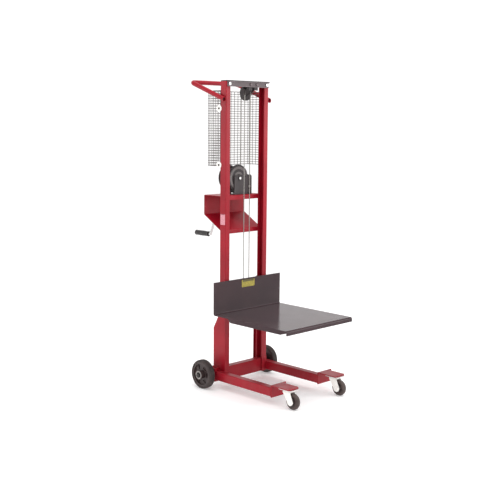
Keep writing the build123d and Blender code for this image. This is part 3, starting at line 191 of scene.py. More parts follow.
# %% Colour and node helpers
def linear(hex_colour):
    """sRGB hex to linear: c / 12.92 when dark, else ((c + 0.055) / 1.055) to the power 2.4."""
    code = np.array([int(hex_colour[at : at + 2], 16) for at in (1, 3, 5)]) / 255
    bright = ((code + 0.055) / 1.055) ** 2.4
    return (*np.where(code <= 0.04045, code / 12.92, bright).tolist(), 1.0)


def add(tree, kind, inputs=None, **settings):
    """Add one shader node: settings are its options, inputs are values or sockets to link."""
    node = tree.nodes.new("ShaderNode" + kind)
    for name, value in settings.items():
        setattr(node, name, value)
    for key, value in (inputs or {}).items():
        if isinstance(value, bpy.types.NodeSocket):
            tree.links.new(value, node.inputs[key])
        else:
            node.inputs[key].default_value = value
    return node


def start_finish(name, **constants):
    """A new material, its node tree and its shader, with the constants set on the shader."""
    material = bpy.data.materials.new(name)
    material.use_nodes = True
    tree = material.node_tree
    shader = tree.nodes["Principled BSDF"]
    for socket, value in constants.items():
        shader.inputs[socket.replace("_", " ")].default_value = value
    place = add(tree, "TexCoord").outputs["Object"]
    return material, tree, shader, place


def patches(tree, place, size, low, high, detail=2.0):
    """Cloudy patches of a real size in metres: 0 where the noise is under low, 1 over high."""
    noise = add(tree, "TexNoise", {"Vector": place, "Scale": 1 / size, "Detail": detail})
    spread = {"Value": noise.outputs[0], "From Min": low, "From Max": high}
    return add(tree, "MapRange", spread).outputs[0]


def blend_colours(tree, share, first, second):
    """First colour where the share is 0 and second where it is 1."""
    node = add(tree, "Mix", {0: share, 6: first, 7: second}, data_type="RGBA")
    return node.outputs[2]


def times(tree, first, second):
    """Product of two values."""
    return add(tree, "Math", {0: first, 1: second}, operation="MULTIPLY").outputs[0]


print("mid gray #808080 in linear numbers:", round(linear("#808080")[0], 3))

# %% [markdown]
# ## Enamel on welded steel
# The mast, legs and shelf are sprayed with red enamel, which dries with a slight orange-peel
# skin and gathers thin on sharp corners, where it chips first. A picture texture would need
# unwrapping; noise on object coordinates needs none and keeps its real scale. The Bevel node
# finds the corners: where the rounded normal leaves the flat one, paint may be worn.

# %% Enamel
ORANGE_PEEL = 2.5 * MM  # one ripple of the sprayed skin
CHIP = 7 * MM
ROUNDED_CORNER = 1.2 * MM


def enamel(name, colour, deep, worn, gloss, wear, dust=0.0, skin_height=0.06 * MM, rub=0.14):
    """Sprayed paint: two tones in clouds, an orange-peel skin, worn corners, dust near the floor."""
    material, tree, shader, place = start_finish(
        name, IOR=1.45, Specular_IOR_Level=0.28, Coat_Weight=0.03, Coat_Roughness=0.15
    )
    clouds = patches(tree, place, 220 * MM, 0.35, 0.68)
    paint = blend_colours(tree, clouds, linear(colour), linear(deep))
    rounded = add(tree, "Bevel", {"Radius": ROUNDED_CORNER}, samples=4).outputs[0]
    flat = add(tree, "NewGeometry").outputs["Normal"]
    same = add(tree, "VectorMath", {0: rounded, 1: flat}, operation="DOT_PRODUCT").outputs["Value"]
    corner = add(tree, "MapRange", {"Value": same, "From Min": 0.985, "From Max": 0.90}).outputs[0]
    chips = patches(tree, place, CHIP, 0.52, 0.60, 4.0)
    worn_share = times(tree, times(tree, corner, chips), wear)
    paint = blend_colours(tree, worn_share, paint, linear(worn))
    if dust:
        height = add(tree, "SeparateXYZ", {0: place}).outputs["Z"]
        low_down = add(
            tree, "MapRange", {"Value": height, "From Min": 0.30, "From Max": 0.03}
        ).outputs[0]
        smudges = patches(tree, place, 40 * MM, 0.35, 0.75, 5.0)
        dusty = times(tree, times(tree, low_down, smudges), dust)
        paint = blend_colours(tree, dusty, paint, linear("#8f7d76"))
    tree.links.new(paint, shader.inputs["Base Color"])
    rubbed = patches(tree, place, 60 * MM, 0.3, 0.8, 4.0)
    roughness = add(
        tree, "MapRange", {"Value": rubbed, "To Min": gloss, "To Max": gloss + rub}
    ).outputs[0]
    tree.links.new(roughness, shader.inputs["Roughness"])
    skin = add(
        tree, "TexNoise", {"Vector": place, "Scale": 1 / ORANGE_PEEL, "Detail": 1.0}
    ).outputs[0]
    bump = add(
        tree,
        "Bump",
        {"Height": skin, "Normal": rounded, "Strength": 0.35, "Distance": skin_height},
    ).outputs[0]
    tree.links.new(bump, shader.inputs["Normal"])
    return material


# Red: a deep gloss with soft highlights. Charcoal: flatter and smoother, so the deck mirrors the
# pale room at a low angle. Black and the grays: half matt, and paler where hands rub them.
red_enamel = enamel("red_enamel", "#a01124", "#8d0c1d", "#54403e", 0.30, 0.8, dust=0.08)
deck_enamel = enamel(
    "charcoal_enamel", "#3d2a2e", "#352429", "#746968", 0.13, 0.7, skin_height=0.004 * MM, rub=0.05
)
cap_enamel = enamel("black_enamel", "#171313", "#110e0e", "#4f4a48", 0.50, 0.6)
head_enamel = enamel("gray_enamel", "#766a6c", "#675c5e", "#a29b99", 0.34, 0.6)
winch_enamel = enamel("winch_dark_enamel", "#4a4546", "#3a3536", "#96928f", 0.38, 0.9)
# The gear's raised rings are a paler gray: a painted highlight on their faces.
ring_highlight_paint = enamel("winch_ring_painted_highlight", "#7d7776", "#676160", "#a29e9b", 0.34, 0.9)
print("enamels mixed")

# %% [markdown]
# ## Plated and bare steel
# Bolts and the crank are zinc plated: a bright metal with a faint patchy haze. Caster forks
# and guard washers are zinc too, given a near-white colour and little metal: a painted
# reflection of the pale studio. One recipe serves them all, and steel and wire too: colour tints
# the reflection, roughness carries the haze, and a share of metal says how much acts as metal.

# %% Plated steel
def plated(name, colour, hazy, roughness, patch=9 * MM, metallic=1.0):
    """Metal with hazy patches that roughen and tint it."""
    material, tree, shader, place = start_finish(name, Metallic=metallic)
    haze = patches(tree, place, patch, 0.35, 0.7, 4.0)
    tree.links.new(
        blend_colours(tree, haze, linear(colour), linear(hazy)), shader.inputs["Base Color"]
    )
    rough = add(
        tree, "MapRange", {"Value": haze, "To Min": roughness, "To Max": roughness + 0.16}
    ).outputs[0]
    tree.links.new(rough, shader.inputs["Roughness"])
    rounded = add(tree, "Bevel", {"Radius": 0.5 * MM}, samples=4).outputs[0]
    grain = add(tree, "TexNoise", {"Vector": place, "Scale": 1 / (1.5 * MM), "Detail": 2.0})
    bump = add(
        tree,
        "Bump",
        {"Height": grain.outputs[0], "Normal": rounded, "Strength": 0.25, "Distance": 0.03 * MM},
    ).outputs[0]
    tree.links.new(bump, shader.inputs["Normal"])
    return material


# Bright zinc: cool and shiny, clouded in patches.
bright_zinc = plated("bright_zinc_plate", "#e6e7e6", "#cfd0ce", 0.24)
# Turned steel: warmer and softer.
turned_steel = plated("turned_steel", "#b9b6b2", "#9b9793", 0.30)
# Pale zinc: near white with a faint gleam, the white a painted reflection of the pale studio.
pale_zinc_painted_reflection = plated("pale_zinc_painted_reflection", "#fffefa", "#f4f2ec", 0.40, metallic=0.1)
# Dull zinc: aged gray, with no clear reflections.
dull_zinc = plated("dull_zinc", "#a8a3a0", "#8f8a87", 0.40, metallic=0.8)
# Blackened steel: dark, with a narrow gleam.
blackened_steel = plated("blackened_steel", "#565150", "#3f3b3a", 0.36)
# Galvanised wire: gray, with a spangle longer than the wire is thick.
galvanised_wire = plated("galvanised_wire", "#7f7977", "#625c5a", 0.42, patch=14 * MM)
print("plated and bare steel mixed")

# %% [markdown]
# ## Wire rope
# The lift rope is six strands laid round a core. The strands are real ridges in the mesh, and
# each point knows how far out it stands, so the shader paints shade into the grooves between
# strands and leaves their crowns bright and smoother.

# %% Rope finish
def rope_finish():
    """Steel strands: bright on the crowns, with painted shade in the grooves."""
    material, tree, shader, place = start_finish("laid_wire_rope", Metallic=0.85)
    crown = add(tree, "Attribute", attribute_name="crown").outputs["Fac"]
    grease = patches(tree, place, 90 * MM, 0.3, 0.8, 3.0)
    steel = blend_colours(tree, grease, linear("#c9c7c2"), linear("#a8a59f"))
    # Dark where the crown is low: painted shade in the grooves between strands.
    tree.links.new(
        blend_colours(tree, crown, linear("#3f3b38"), steel), shader.inputs["Base Color"]
    )
    rough = add(tree, "MapRange", {"Value": crown, "To Min": 0.6, "To Max": 0.34}).outputs[0]
    tree.links.new(rough, shader.inputs["Roughness"])
    wires = add(tree, "TexNoise", {"Vector": place, "Scale": 1 / (0.8 * MM)}).outputs[0]
    bump = add(tree, "Bump", {"Height": wires, "Strength": 0.3, "Distance": 0.08 * MM}).outputs[0]
    tree.links.new(bump, shader.inputs["Normal"])
    return material


laid_rope = rope_finish()
print("rope finish mixed")

# %% [markdown]
# ## Rubber and moulded plastic
# Tyres are dark vulcanised rubber, grayed by floor dust. The wheel centres, the crank's grip
# and the handle's plugs are moulded plastic: a fine sandy texture that keeps reflections soft.
# Dust is a film of a paler colour in patches, and it makes the surface rougher as well.

# %% Rubber and plastic
def moulded(name, colour, dusty, roughness, grain, dust):
    """Dark moulded material: a fine grain in the surface and pale dust in patches."""
    material, tree, shader, place = start_finish(name, IOR=1.5)
    film = times(tree, patches(tree, place, 30 * MM, 0.38, 0.78, 5.0), dust)
    tree.links.new(
        blend_colours(tree, film, linear(colour), linear(dusty)), shader.inputs["Base Color"]
    )
    rough = add(
        tree, "MapRange", {"Value": film, "To Min": roughness, "To Max": roughness + 0.2}
    ).outputs[0]
    tree.links.new(rough, shader.inputs["Roughness"])
    rounded = add(tree, "Bevel", {"Radius": 0.8 * MM}, samples=4).outputs[0]
    sand = add(tree, "TexNoise", {"Vector": place, "Scale": 1 / grain, "Detail": 3.0}).outputs[0]
    bump = add(
        tree, "Bump", {"Height": sand, "Normal": rounded, "Strength": 0.4, "Distance": 0.1 * MM}
    ).outputs[0]
    tree.links.new(bump, shader.inputs["Normal"])
    return material


tyre_rubber = moulded("tyre_rubber", "#2a201f", "#63544f", 0.60, 1.2 * MM, 0.35)
hub_plastic = moulded("hub_plastic", "#382b2a", "#574a46", 0.45, 1.0 * MM, 0.25)
caster_rubber = moulded("caster_rubber", "#392c29", "#6a5a54", 0.45, 1.0 * MM, 0.5)
# The plugs' dark maroon is partly painted shade, as inside the end of a red tube.
plug_plastic_painted_shade = moulded("plug_plastic_painted_shade", "#240c10", "#3a2022", 0.60, 1.0 * MM, 0.1)
grip_plastic = moulded("grip_plastic", "#1f1b1b", "#4d4644", 0.38, 0.9 * MM, 0.3)
print("rubber and plastic mixed")

# %% [markdown]
# ## Labels
# A yellow vinyl notice sits on the back plate and a silver foil plate on the mast. Both carry
# plain bars where a real one has print. The bars come from the height on the label: the
# fraction of height over bar spacing, compared with a share.

# %% Label finish
BAR_ROWS = 9.0  # bars in the label's height
BAR_GAP = 0.62  # share of each row that stays blank
HEADER_GAP = 0.04
BORDER = 0.05
PRINT_STRENGTH = 0.85


def label_finish(name, base, ink, node, across, header):
    """Vinyl with a border, a solid header band and thin bars under it, no lettering."""
    material, tree, shader, place = start_finish(name, IOR=1.46, Roughness=0.35)
    low, high = corners(node)
    parts = add(tree, "SeparateXYZ", {0: place}).outputs
    spans = {}
    for key, index in (("across", across), ("up", 2)):
        spans[key] = add(
            tree,
            "MapRange",
            {"Value": parts[index], "From Min": float(low[index]), "From Max": float(high[index])},
        ).outputs[0]

    def compare(value, limit, operation):
        return add(tree, "Math", {0: value, 1: limit}, operation=operation).outputs[0]

    rows = times(tree, spans["up"], BAR_ROWS)
    share = add(tree, "Math", {0: rows}, operation="FRACT").outputs[0]
    bars = compare(share, BAR_GAP, "GREATER_THAN")
    words = patches(tree, place, 5 * MM, 0.42, 0.46, 1.0)
    below = compare(spans["up"], header, "LESS_THAN")
    above = compare(spans["up"], header + HEADER_GAP, "GREATER_THAN")
    inset = times(tree, times(tree, bars, words), below)
    inked = compare(inset, above, "MAXIMUM")
    from_left = compare(spans["across"], BORDER, "GREATER_THAN")
    from_right = compare(spans["across"], 1 - BORDER, "LESS_THAN")
    inked = times(tree, times(tree, inked, from_left), from_right)
    worn = times(tree, inked, PRINT_STRENGTH)
    tree.links.new(
        blend_colours(tree, worn, linear(base), linear(ink)), shader.inputs["Base Color"]
    )
    return material


yellow_vinyl = label_finish("yellow_vinyl", "#b9a93f", "#35311f", "capacity_label", 0, 0.66)
silver_foil = label_finish("silver_foil", "#e6a0ab", "#8d3c49", "rating_label", 1, 0.86)
print("labels printed")

# %% [markdown]
# ## Finishes on the solid model
# Plates, channels and shafts have their true shape already, so they keep it and only their
# finish changes.

# %% Dress the solids
finish_of = {
    red_enamel: (
        "upright_left upright_right lower_posts cross_member legs axle_brackets foot_brackets "
        "push_handle guard_tabs winch_shelf"
    ),
    deck_enamel: "platform carriage_bars carriage_crossbar",
    cap_enamel: "top_plate anchor_lug axle_collars",
    head_enamel: "head_channel",
    winch_enamel: "winch_frame winch_drum drum_gear sheave_bracket top_sheave_pin top_sheave",
    bright_zinc: "caster_plates roller_pins carriage_sheave_pin carriage_sheave crank_arm crank_nut pawl",
    # near-white zinc: a painted reflection of the pale studio
    pale_zinc_painted_reflection: "guard_washers caster_axle_left caster_axle_right",
    blackened_steel: "anchor_eye rear_axle",
    turned_steel: (
        "pinion_shaft guide_roller_upper_left guide_roller_upper_right "
        "guide_roller_lower_left guide_roller_lower_right"
    ),
    hub_plastic: "rear_hub_left rear_hub_right",
    yellow_vinyl: "capacity_label",
    silver_foil: "rating_label",
}
for finish, names in finish_of.items():
    for name in names.split():
        nodes[name].data.materials.clear()
        nodes[name].data.materials.append(finish)
print(sum(len(names.split()) for names in finish_of.values()), "solids dressed")

# %% [markdown]
# ## The wire guard
# Behind the mast a basket of welded mesh keeps hands off the rope. The solid model has a
# perforated sheet in its place. Here each wire is a round tube: the level wires are bent
# round both corners, and the upright ones stand just inside them, where they are spot welded.

# %% Guard wires
WIRE_RADIUS = 1.45 * MM
RIM_RADIUS = 2.0 * MM
ROW_PITCH = 13.4 * MM
COLUMN_PITCH = 27.0 * MM
GUARD_CORNER = 4 * MM
guard_low, guard_high = corners("guard_screen")
guard_inner = guard_high - RIM_RADIUS
front_y = guard_low[1] + RIM_RADIUS


def guard_row(z):
    """A level wire: along one wing, round a corner, behind, round the other and back."""
    x, y = guard_inner[:2]
    bend = GUARD_CORNER
    turns = [
        line((x, front_y, z), (x, y - bend, z), 30 * MM)[:-1],
        arc((x - bend, y - bend, z), AXIS_X, AXIS_Y, bend, 0, 90, 6),
        line((x - bend, y, z), (bend - x, y, z), 40 * MM)[1:-1],
        arc((bend - x, y - bend, z), AXIS_X, AXIS_Y, bend, 90, 180, 6),
        line((-x, y - bend, z), (-x, front_y, z), 30 * MM)[1:],
    ]
    return np.concatenate(turns)


row_count = int((guard_high[2] - guard_low[2]) / ROW_PITCH)
row_heights = np.linspace(guard_low[2] + RIM_RADIUS, guard_high[2] - RIM_RADIUS, row_count)
wires = [carried(guard_row(z), AXIS_Z, circle(WIRE_RADIUS, 8)) for z in row_heights[1:-1]]
wires += [carried(guard_row(z), AXIS_Z, circle(RIM_RADIUS, 10)) for z in row_heights[[0, -1]]]
column_inset = WIRE_RADIUS * 1.8
rear_spots = np.arange(-5.5, 6) * COLUMN_PITCH
wing_spots = guard_inner[1] - GUARD_CORNER - np.arange(0, 4) * COLUMN_PITCH
column_places = [(x, guard_inner[1] - column_inset) for x in rear_spots]
column_places += [
    (side * (guard_inner[0] - column_inset), y) for side in (-1, 1) for y in wing_spots
]
for x, y in column_places:
    upright = line((x, y, row_heights[0]), (x, y, row_heights[-1]), 100 * MM)
    wires.append(carried(upright, AXIS_X, circle(WIRE_RADIUS, 8)))
for side in (-1, 1):
    rim = line(
        (side * guard_inner[0], front_y, row_heights[0]),
        (side * guard_inner[0], front_y, row_heights[-1]),
        100 * MM,
    )
    wires.append(carried(rim, AXIS_X, circle(RIM_RADIUS, 10)))
guard = make_piece("guard_mesh", wires, galvanised_wire, "frame", merge=False)
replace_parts(guard, "guard_screen")

# %% [markdown]
# ## The rope
# One rope leaves the drum, goes up over the top sheave, down and round the carriage's sheave,
# and back up to an eye at the head. Its six strands are a ripple in the radius that turns as it
# goes along. The two hanging lengths change with the lift, but here they are built in place on
# no body, and the bight under the sheave travels with the carriage.

# %% Rope lengths
ROPE_RADIUS = 2.5 * MM
ROPE_LAY = 32 * MM  # length of one full turn of a strand
STRANDS = 6
ROPE_STEP = 2.8 * MM
ROPE_SIDES = 24


def laid_rope_shell(path, side):
    """Radius = R (0.85 + 0.15 |cos(3 (t - 2 pi s / lay))|), t round the rope and s along it."""
    gaps = np.linalg.norm(np.diff(path, axis=0), axis=1)
    along = np.concatenate([[0], np.cumsum(gaps)])[:, None]
    turn = np.linspace(0, 2 * np.pi, ROPE_SIDES, endpoint=False)
    crown = np.abs(np.cos(STRANDS / 2 * (turn - 2 * np.pi * along / ROPE_LAY)))
    radius = ROPE_RADIUS * (0.85 + 0.15 * crown)
    section = radius[..., None] * np.stack([np.cos(turn), np.sin(turn)], axis=-1)
    return carried(path, side, section), crown.ravel()


def rope_piece(name, path, side, body):
    """One length of rope as a piece, with the strand crowns stored on its points."""
    shell, crown = laid_rope_shell(path, side)
    return make_piece(
        name, [shell], laid_rope, body, merge=False, crease=80, values={"crown": [crown]}
    )


for node, name in (("rope_live_strand", "rope_fall_live"), ("rope_dead_strand", "rope_fall_dead")):
    low, high = corners(node)
    centre = (low + high) / 2
    top, bottom = (*centre[:2], high[2]), (*centre[:2], low[2])
    fall = rope_piece(name, line(top, bottom, ROPE_STEP), AXIS_X, None)
    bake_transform(fall)
    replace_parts(fall, node)

riser_low, riser_high = corners("rope_riser")
sheave = middle("top_sheave")
riser_y = riser_high[1] - ROPE_RADIUS
over_radius = (riser_high[1] - riser_low[1]) / 2 - ROPE_RADIUS
riser_path = np.concatenate(
    [
        line((sheave[0], riser_y, riser_low[2]), (sheave[0], riser_y, sheave[2]), ROPE_STEP)[:-1],
        arc(sheave, AXIS_Y, AXIS_Z, over_radius, 0, 180, 44),
    ]
)
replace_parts(rope_piece("rope_riser_length", riser_path, AXIS_X, "frame"), "rope_riser")

pulley = middle("carriage_sheave")
bight_low, bight_high = corners("rope_loop")
bight_radius = (bight_high[0] - bight_low[0]) / 2 - ROPE_RADIUS
bight_path = arc(pulley, AXIS_X, AXIS_Z, bight_radius, 0, -180, 30)
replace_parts(rope_piece("rope_bight", bight_path, AXIS_Y, "carriage"), "rope_loop")

# %% [markdown]
# ## The rope on the drum
# The winch winds the rope in one neat layer. Its path is a helix: while the angle goes round,
# the position moves one rope thickness along the drum each turn.

# %% Wound rope
wound_low, wound_high = corners("wound_rope")
drum_centre = middle("wound_rope")
coil_radius = (wound_high[0] - wound_low[0]) / 2 - ROPE_RADIUS
coil_start, coil_end = riser_y, wound_high[1] - ROPE_RADIUS
coil_turns = (coil_end - coil_start) / (2 * ROPE_RADIUS)
angle = np.linspace(0, 2 * np.pi * coil_turns, int(coil_turns * 72))[:, None]
outward = np.cos(angle) * AXIS_X - np.sin(angle) * AXIS_Z
advance = coil_start + (coil_end - coil_start) * angle / angle[-1]
axis_point = drum_centre * (1, 0, 1)
coil_path = axis_point + coil_radius * outward + advance * AXIS_Y
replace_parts(rope_piece("rope_on_drum", coil_path, outward, "drum"), "wound_rope")

# %% [markdown]
# ## Tyres
# The rear tyres are solid rubber with fine ribs round the tread, and the caster tyres are
# crowned and smooth. Both are turned outlines: radius against place across the tyre.

# %% Rear tyres
TYRE_RIM = 69 * MM
SHOULDER = 9 * MM
GROOVE_DEPTH = 1.3 * MM
GROOVE_WIDTH = 0.022  # as a share of the tread's width, like the places
GROOVE_PLACES = np.array([-0.26, -0.13, 0.0, 0.13, 0.26])


def ribbed_tyre(node):
    """Radius = R - shoulder |2w|^6 - grooves, w across the tread; flat sides down to the rim."""
    low, high = corners(node)
    width, radius = high[0] - low[0], (high[2] - low[2]) / 2
    across = np.linspace(-0.5, 0.5, 61)
    grooves = np.exp(-(((across[:, None] - GROOVE_PLACES) / GROOVE_WIDTH) ** 2)).sum(axis=1)
    shoulder = SHOULDER * np.abs(2 * across) ** 6
    tread = np.stack([radius - shoulder - GROOVE_DEPTH * grooves, across * width], axis=-1)
    half = width / 2
    right = [
        (radius - 11 * MM, half * 0.985), (TYRE_RIM + 3 * MM, half * 0.95), (TYRE_RIM, half * 0.93),
    ]
    left = [(r, -w) for r, w in reversed(right)]
    outline = np.concatenate([tread, right, left])
    return turned(middle(node), AXIS_X, outline, sides=96, closed=True)


for side in ("left", "right"):
    node = f"rear_tyre_{side}"
    tyre = make_piece(
        f"rear_tyre_ribbed_{side}", [ribbed_tyre(node)], tyre_rubber,
        f"rear_wheel_{side}", crease=40,
    )
    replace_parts(tyre, node)

# %% [markdown]
# ## Hub faces
# Each rear hub ends in a pressed ring of dull zinc round the axle, held by two rivets. Both
# are too thin to matter to the solid model, but they catch the light, so they are turned here.

# %% Hub faces
RIVET_CIRCLE = 19.8 * MM  # axle's middle to a rivet's middle


def hub_ring(centre, face_x, out):
    """A pressed ring on the hub's end, with two rivet heads opposite each other."""
    spot = centre * (0, 1, 1) + AXIS_X * face_x
    ring = [
        (15.6 * MM, 0), (15.6 * MM, 0.3 * MM), (16.2 * MM, 0.36 * MM), (23.0 * MM, 0.36 * MM),
        (23.7 * MM, 0.2 * MM), (23.7 * MM, 0),
    ]
    head = [(0, 0), (1.9 * MM, 0), (1.8 * MM, 0.6 * MM), (1.0 * MM, 1.0 * MM), (0, 1.1 * MM)]
    away = (AXIS_Y + AXIS_Z) * RIVET_CIRCLE / np.sqrt(2)
    rivets = [turned(spot + side * away, out * AXIS_X, head, sides=20) for side in (-1, 1)]
    return turned(spot, out * AXIS_X, ring, sides=64, closed=True), rivets


for side, out in (("left", 1), ("right", -1)):
    hub_low, hub_high = corners(f"rear_hub_{side}")
    outer_face = hub_high[0] if out > 0 else hub_low[0]
    ring, rivets = hub_ring(middle(f"rear_hub_{side}"), outer_face, out)
    body = f"rear_wheel_{side}"
    make_piece(f"hub_ring_{side}", [ring], dull_zinc, body)
    make_piece(f"hub_rivets_{side}", rivets, blackened_steel, body)

# %% [markdown]
# ## Caster wheels
# A caster's wheel is a rubber tyre moulded on a grooved plastic centre. The two are separate
# rings turned about the axle, so each has its own finish and a clean line between them.

# %% Caster wheels
CASTER_RADIUS = 44.5 * MM
TREAD_HALF = 14 * MM
TREAD_CROWN = 11 * MM


def caster_shells(node):
    """A crowned tyre on a grooved plastic centre: two closed outlines turned about the axle."""
    low, high = corners(node)
    centre, hub_half = (low + high) / 2, (high[0] - low[0]) / 2
    lean = np.linspace(-1, 1, 33)
    crown = CASTER_RADIUS - TREAD_CROWN * (1 - np.sqrt(1 - (0.97 * lean) ** 2))
    rim = CASTER_RADIUS - 14 * MM
    tread = np.stack([crown, lean * TREAD_HALF], axis=-1)
    tyre = np.concatenate([tread, [(rim, TREAD_HALF * 0.9), (rim, -TREAD_HALF * 0.9)]])
    face = [
        (5.2 * MM, hub_half), (11 * MM, hub_half), (12.5 * MM, hub_half - 1.5 * MM),
        (12.5 * MM, 9 * MM), (15 * MM, 7 * MM), (24 * MM, 7 * MM), (27 * MM, 10 * MM),
        (rim + 0.5 * MM, 11.5 * MM),
    ]
    centre_outline = np.array(face + [(r, -w) for r, w in reversed(face)])
    return (
        turned(centre, AXIS_X, tyre, sides=72, closed=True),
        turned(centre, AXIS_X, centre_outline, sides=72, closed=True),
    )


for side in ("left", "right"):
    node = f"caster_wheel_{side}"
    body = f"caster_roller_{side}"
    tyre_shell, centre_shell = caster_shells(node)
    tyre = make_piece(f"caster_tyre_{side}", [tyre_shell], caster_rubber, body)
    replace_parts(tyre, node)
    make_piece(f"caster_centre_{side}", [centre_shell], hub_plastic, body)

# %% [markdown]
# ## Caster forks
# A caster's fork is one pressed strip of plated steel: an eye at each end, widening up to a
# crown that carries the ball race. The strip's middle line is an upside-down U, and its width
# and its lean towards the swivel are functions of height.

# %% Caster forks
FORK_SHEET = 3 * MM
FORK_BEND = 7 * MM
EYE_RADIUS = 21 * MM
EYE_BACK = 5 * MM  # axle to the middle of the eye
CROWN_WIDENING = 6 * MM
CROWN_TOP = 95.8 * MM


def fork_pressing(node, axle_centre, swivel_y):
    """Middle line a U in X and Z; half width grows evenly from the eyes up to the crown."""
    low, high = corners(node)
    centre_x = axle_centre[0]
    half = (high[0] - low[0] - FORK_SHEET) / 2
    tip = low[2]
    top = CROWN_TOP - FORK_SHEET / 2
    left, right = centre_x - half, centre_x + half
    path = np.concatenate(
        [
            line((left, 0, tip), (left, 0, top - FORK_BEND), 1.5 * MM)[:-1],
            arc((left + FORK_BEND, 0, top - FORK_BEND), -AXIS_X, AXIS_Z, FORK_BEND, 0, 90, 8),
            line((left + FORK_BEND, 0, top), (right - FORK_BEND, 0, top), 4 * MM)[1:-1],
            arc((right - FORK_BEND, 0, top - FORK_BEND), AXIS_X, AXIS_Z, FORK_BEND, 90, 0, 8),
            line((right, 0, top - FORK_BEND), (right, 0, tip), 1.5 * MM)[1:],
        ]
    )
    rise = np.clip((path[:, 2] - tip - EYE_RADIUS) / (top - tip - EYE_RADIUS), 0, 1)
    below = np.clip(EYE_RADIUS - (path[:, 2] - tip), 0, EYE_RADIUS * 0.985)
    rounded = np.sqrt(EYE_RADIUS**2 - below**2)
    half_width = np.where(below > 0, rounded, EYE_RADIUS + CROWN_WIDENING * rise)
    eye_y = axle_centre[1] + EYE_BACK
    path[:, 1] = eye_y + (swivel_y - eye_y) * rise
    flat_path = path * (1, 0, 1)
    tangent = unit(np.gradient(flat_path, axis=0))
    outward = np.cross(AXIS_Y, tangent)
    across = np.linspace(-1, 1, 13)
    ring = np.concatenate([across, across[::-1]])
    skin = np.repeat([1, -1], len(across)) * FORK_SHEET / 2
    points = (
        path[:, None]
        + (half_width[:, None] * ring)[..., None] * AXIS_Y
        + skin[None, :, None] * outward[:, None]
    )
    rows, columns = points.shape[:2]
    ends = [list(range(columns))[::-1], list(range((rows - 1) * columns, rows * columns))]
    return points.reshape(-1, 3), grid_faces(rows, columns) + ends


def ball_race(centre, base, top):
    """Two dished rings with a dark gap between them, where the balls run."""
    under, over = (base + top) / 2 - 0.4 * MM, (base + top) / 2 + 0.4 * MM
    bore = 6.3 * MM
    lower = [
        (bore, base), (20 * MM, base), (21 * MM, base + 1 * MM), (20.5 * MM, under),
        (14 * MM, under), (bore, under),
    ]
    upper = [(bore, over), (18 * MM, over), (19.5 * MM, over + 0.8 * MM), (18.5 * MM, top), (bore, top)]
    spot = centre * (1, 1, 0)
    return [turned(spot, AXIS_Z, rings, sides=48, closed=True) for rings in (lower, upper)]


plates_low, plates_high = corners("caster_plates")
swivel_y = (plates_low[1] + plates_high[1]) / 2
for side in ("left", "right"):
    node = f"caster_fork_{side}"
    axle_centre = middle(f"caster_axle_{side}")
    fork_high = corners(node)[1]
    pressing = fork_pressing(node, axle_centre, swivel_y)
    swivel = np.array([axle_centre[0], swivel_y, 0])
    shells = [pressing, *ball_race(swivel, CROWN_TOP, fork_high[2])]
    # The fork's near-white colour is a painted reflection of the pale studio.
    fork = make_piece(f"caster_pressing_{side}", shells, pale_zinc_painted_reflection, f"caster_{side}")
    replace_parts(fork, node)

# %% [markdown]
# ## The crank's grip
# The grip is a moulded plastic roller with a swell in the middle, a collar at each end and
# shallow rings for the fingers. It is one outline turned about the crank's pin.

# %% Crank grip
FINGER_RING = 0.5 * MM  # depth of the shallow rings
COLLAR = 1.3 * MM
grip_low, grip_high = corners("crank_grip")
grip_centre = middle("crank_grip")
grip_half = (grip_high[1] - grip_low[1]) / 2
grip_radius = (grip_high[0] - grip_low[0]) / 2
along = np.linspace(-1, 1, 121)
swell = 1 - 0.10 * along**2
rings = FINGER_RING * (np.cos(along * np.pi * 11) > 0.2) * (np.abs(along) < 0.75)
collar = COLLAR * np.exp(-(((np.abs(along) - 0.93) / 0.05) ** 2))
ends = np.sqrt(np.clip(1 - np.clip((np.abs(along) - 0.94) / 0.06, 0, 1) ** 2, 0, 1))
grip_body = (grip_radius * 0.98 * swell - rings + collar) * (0.62 + 0.38 * ends)
grip_body = np.minimum(grip_body, grip_radius)
grip_outline = np.stack([grip_body, along * grip_half], axis=-1)
bore = np.array([(5.1 * MM, grip_half), (5.1 * MM, -grip_half)])
grip_shell = turned(grip_centre, AXIS_Y, np.concatenate([grip_outline, bore]), sides=56, closed=True)
grip = make_piece("grip_roller", [grip_shell], grip_plastic, "grip")
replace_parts(grip, "crank_grip")

# %% [markdown]
# ## Bolts
# A hexagon bolt head is a prism with its top corners turned off at 30 degrees. Its radius is
# the hexagon's, flats / (2 cos(t - nearest flat)), cut down to the circle at the top. The two
# middle bolts of the head plate hold the sheave's bracket, and are painted with the plate.

# %% Bolts
def hexagon(across_flats, sides=48):
    """Radius of a hexagon at evenly spaced angles, as a share of half its width over flats."""
    turn = np.linspace(0, 2 * np.pi, sides, endpoint=False)
    nearest = (turn + np.pi / 6) % (np.pi / 3) - np.pi / 6
    return across_flats / 2 / np.cos(nearest)


def hexagon_head(spot, axis, across_flats, height):
    """Washer face, six flats, a turned-off rim and a slightly dished top."""
    sides = 48
    corner_radius = hexagon(across_flats, sides)
    round_radius = np.full(sides, across_flats / 2)
    rings = [
        (0 * round_radius, 0),
        (round_radius * 0.95, 0),
        (round_radius * 0.95, 0.08 * height),
        (corner_radius, 0.1 * height),
        (corner_radius, 0.82 * height),
        (np.minimum(corner_radius, round_radius * 1.01), height),
        (round_radius * 0.8, height),
        (0 * round_radius, height * 0.97),
    ]
    outline = np.array([(1.0, h) for _, h in rings])
    shape = np.array([r for r, _ in rings])
    return turned(spot, axis, outline, sides=sides, shape=shape)


def flat_washer(spot, axis, inner, outer, thick):
    """A ring with slightly rounded edges."""
    soft = thick * 0.2
    outline = [
        (inner, 0), (outer - soft, 0), (outer, soft), (outer, thick - soft),
        (outer - soft, thick), (inner, thick),
    ]
    return turned(spot, axis, outline, sides=40, closed=True)


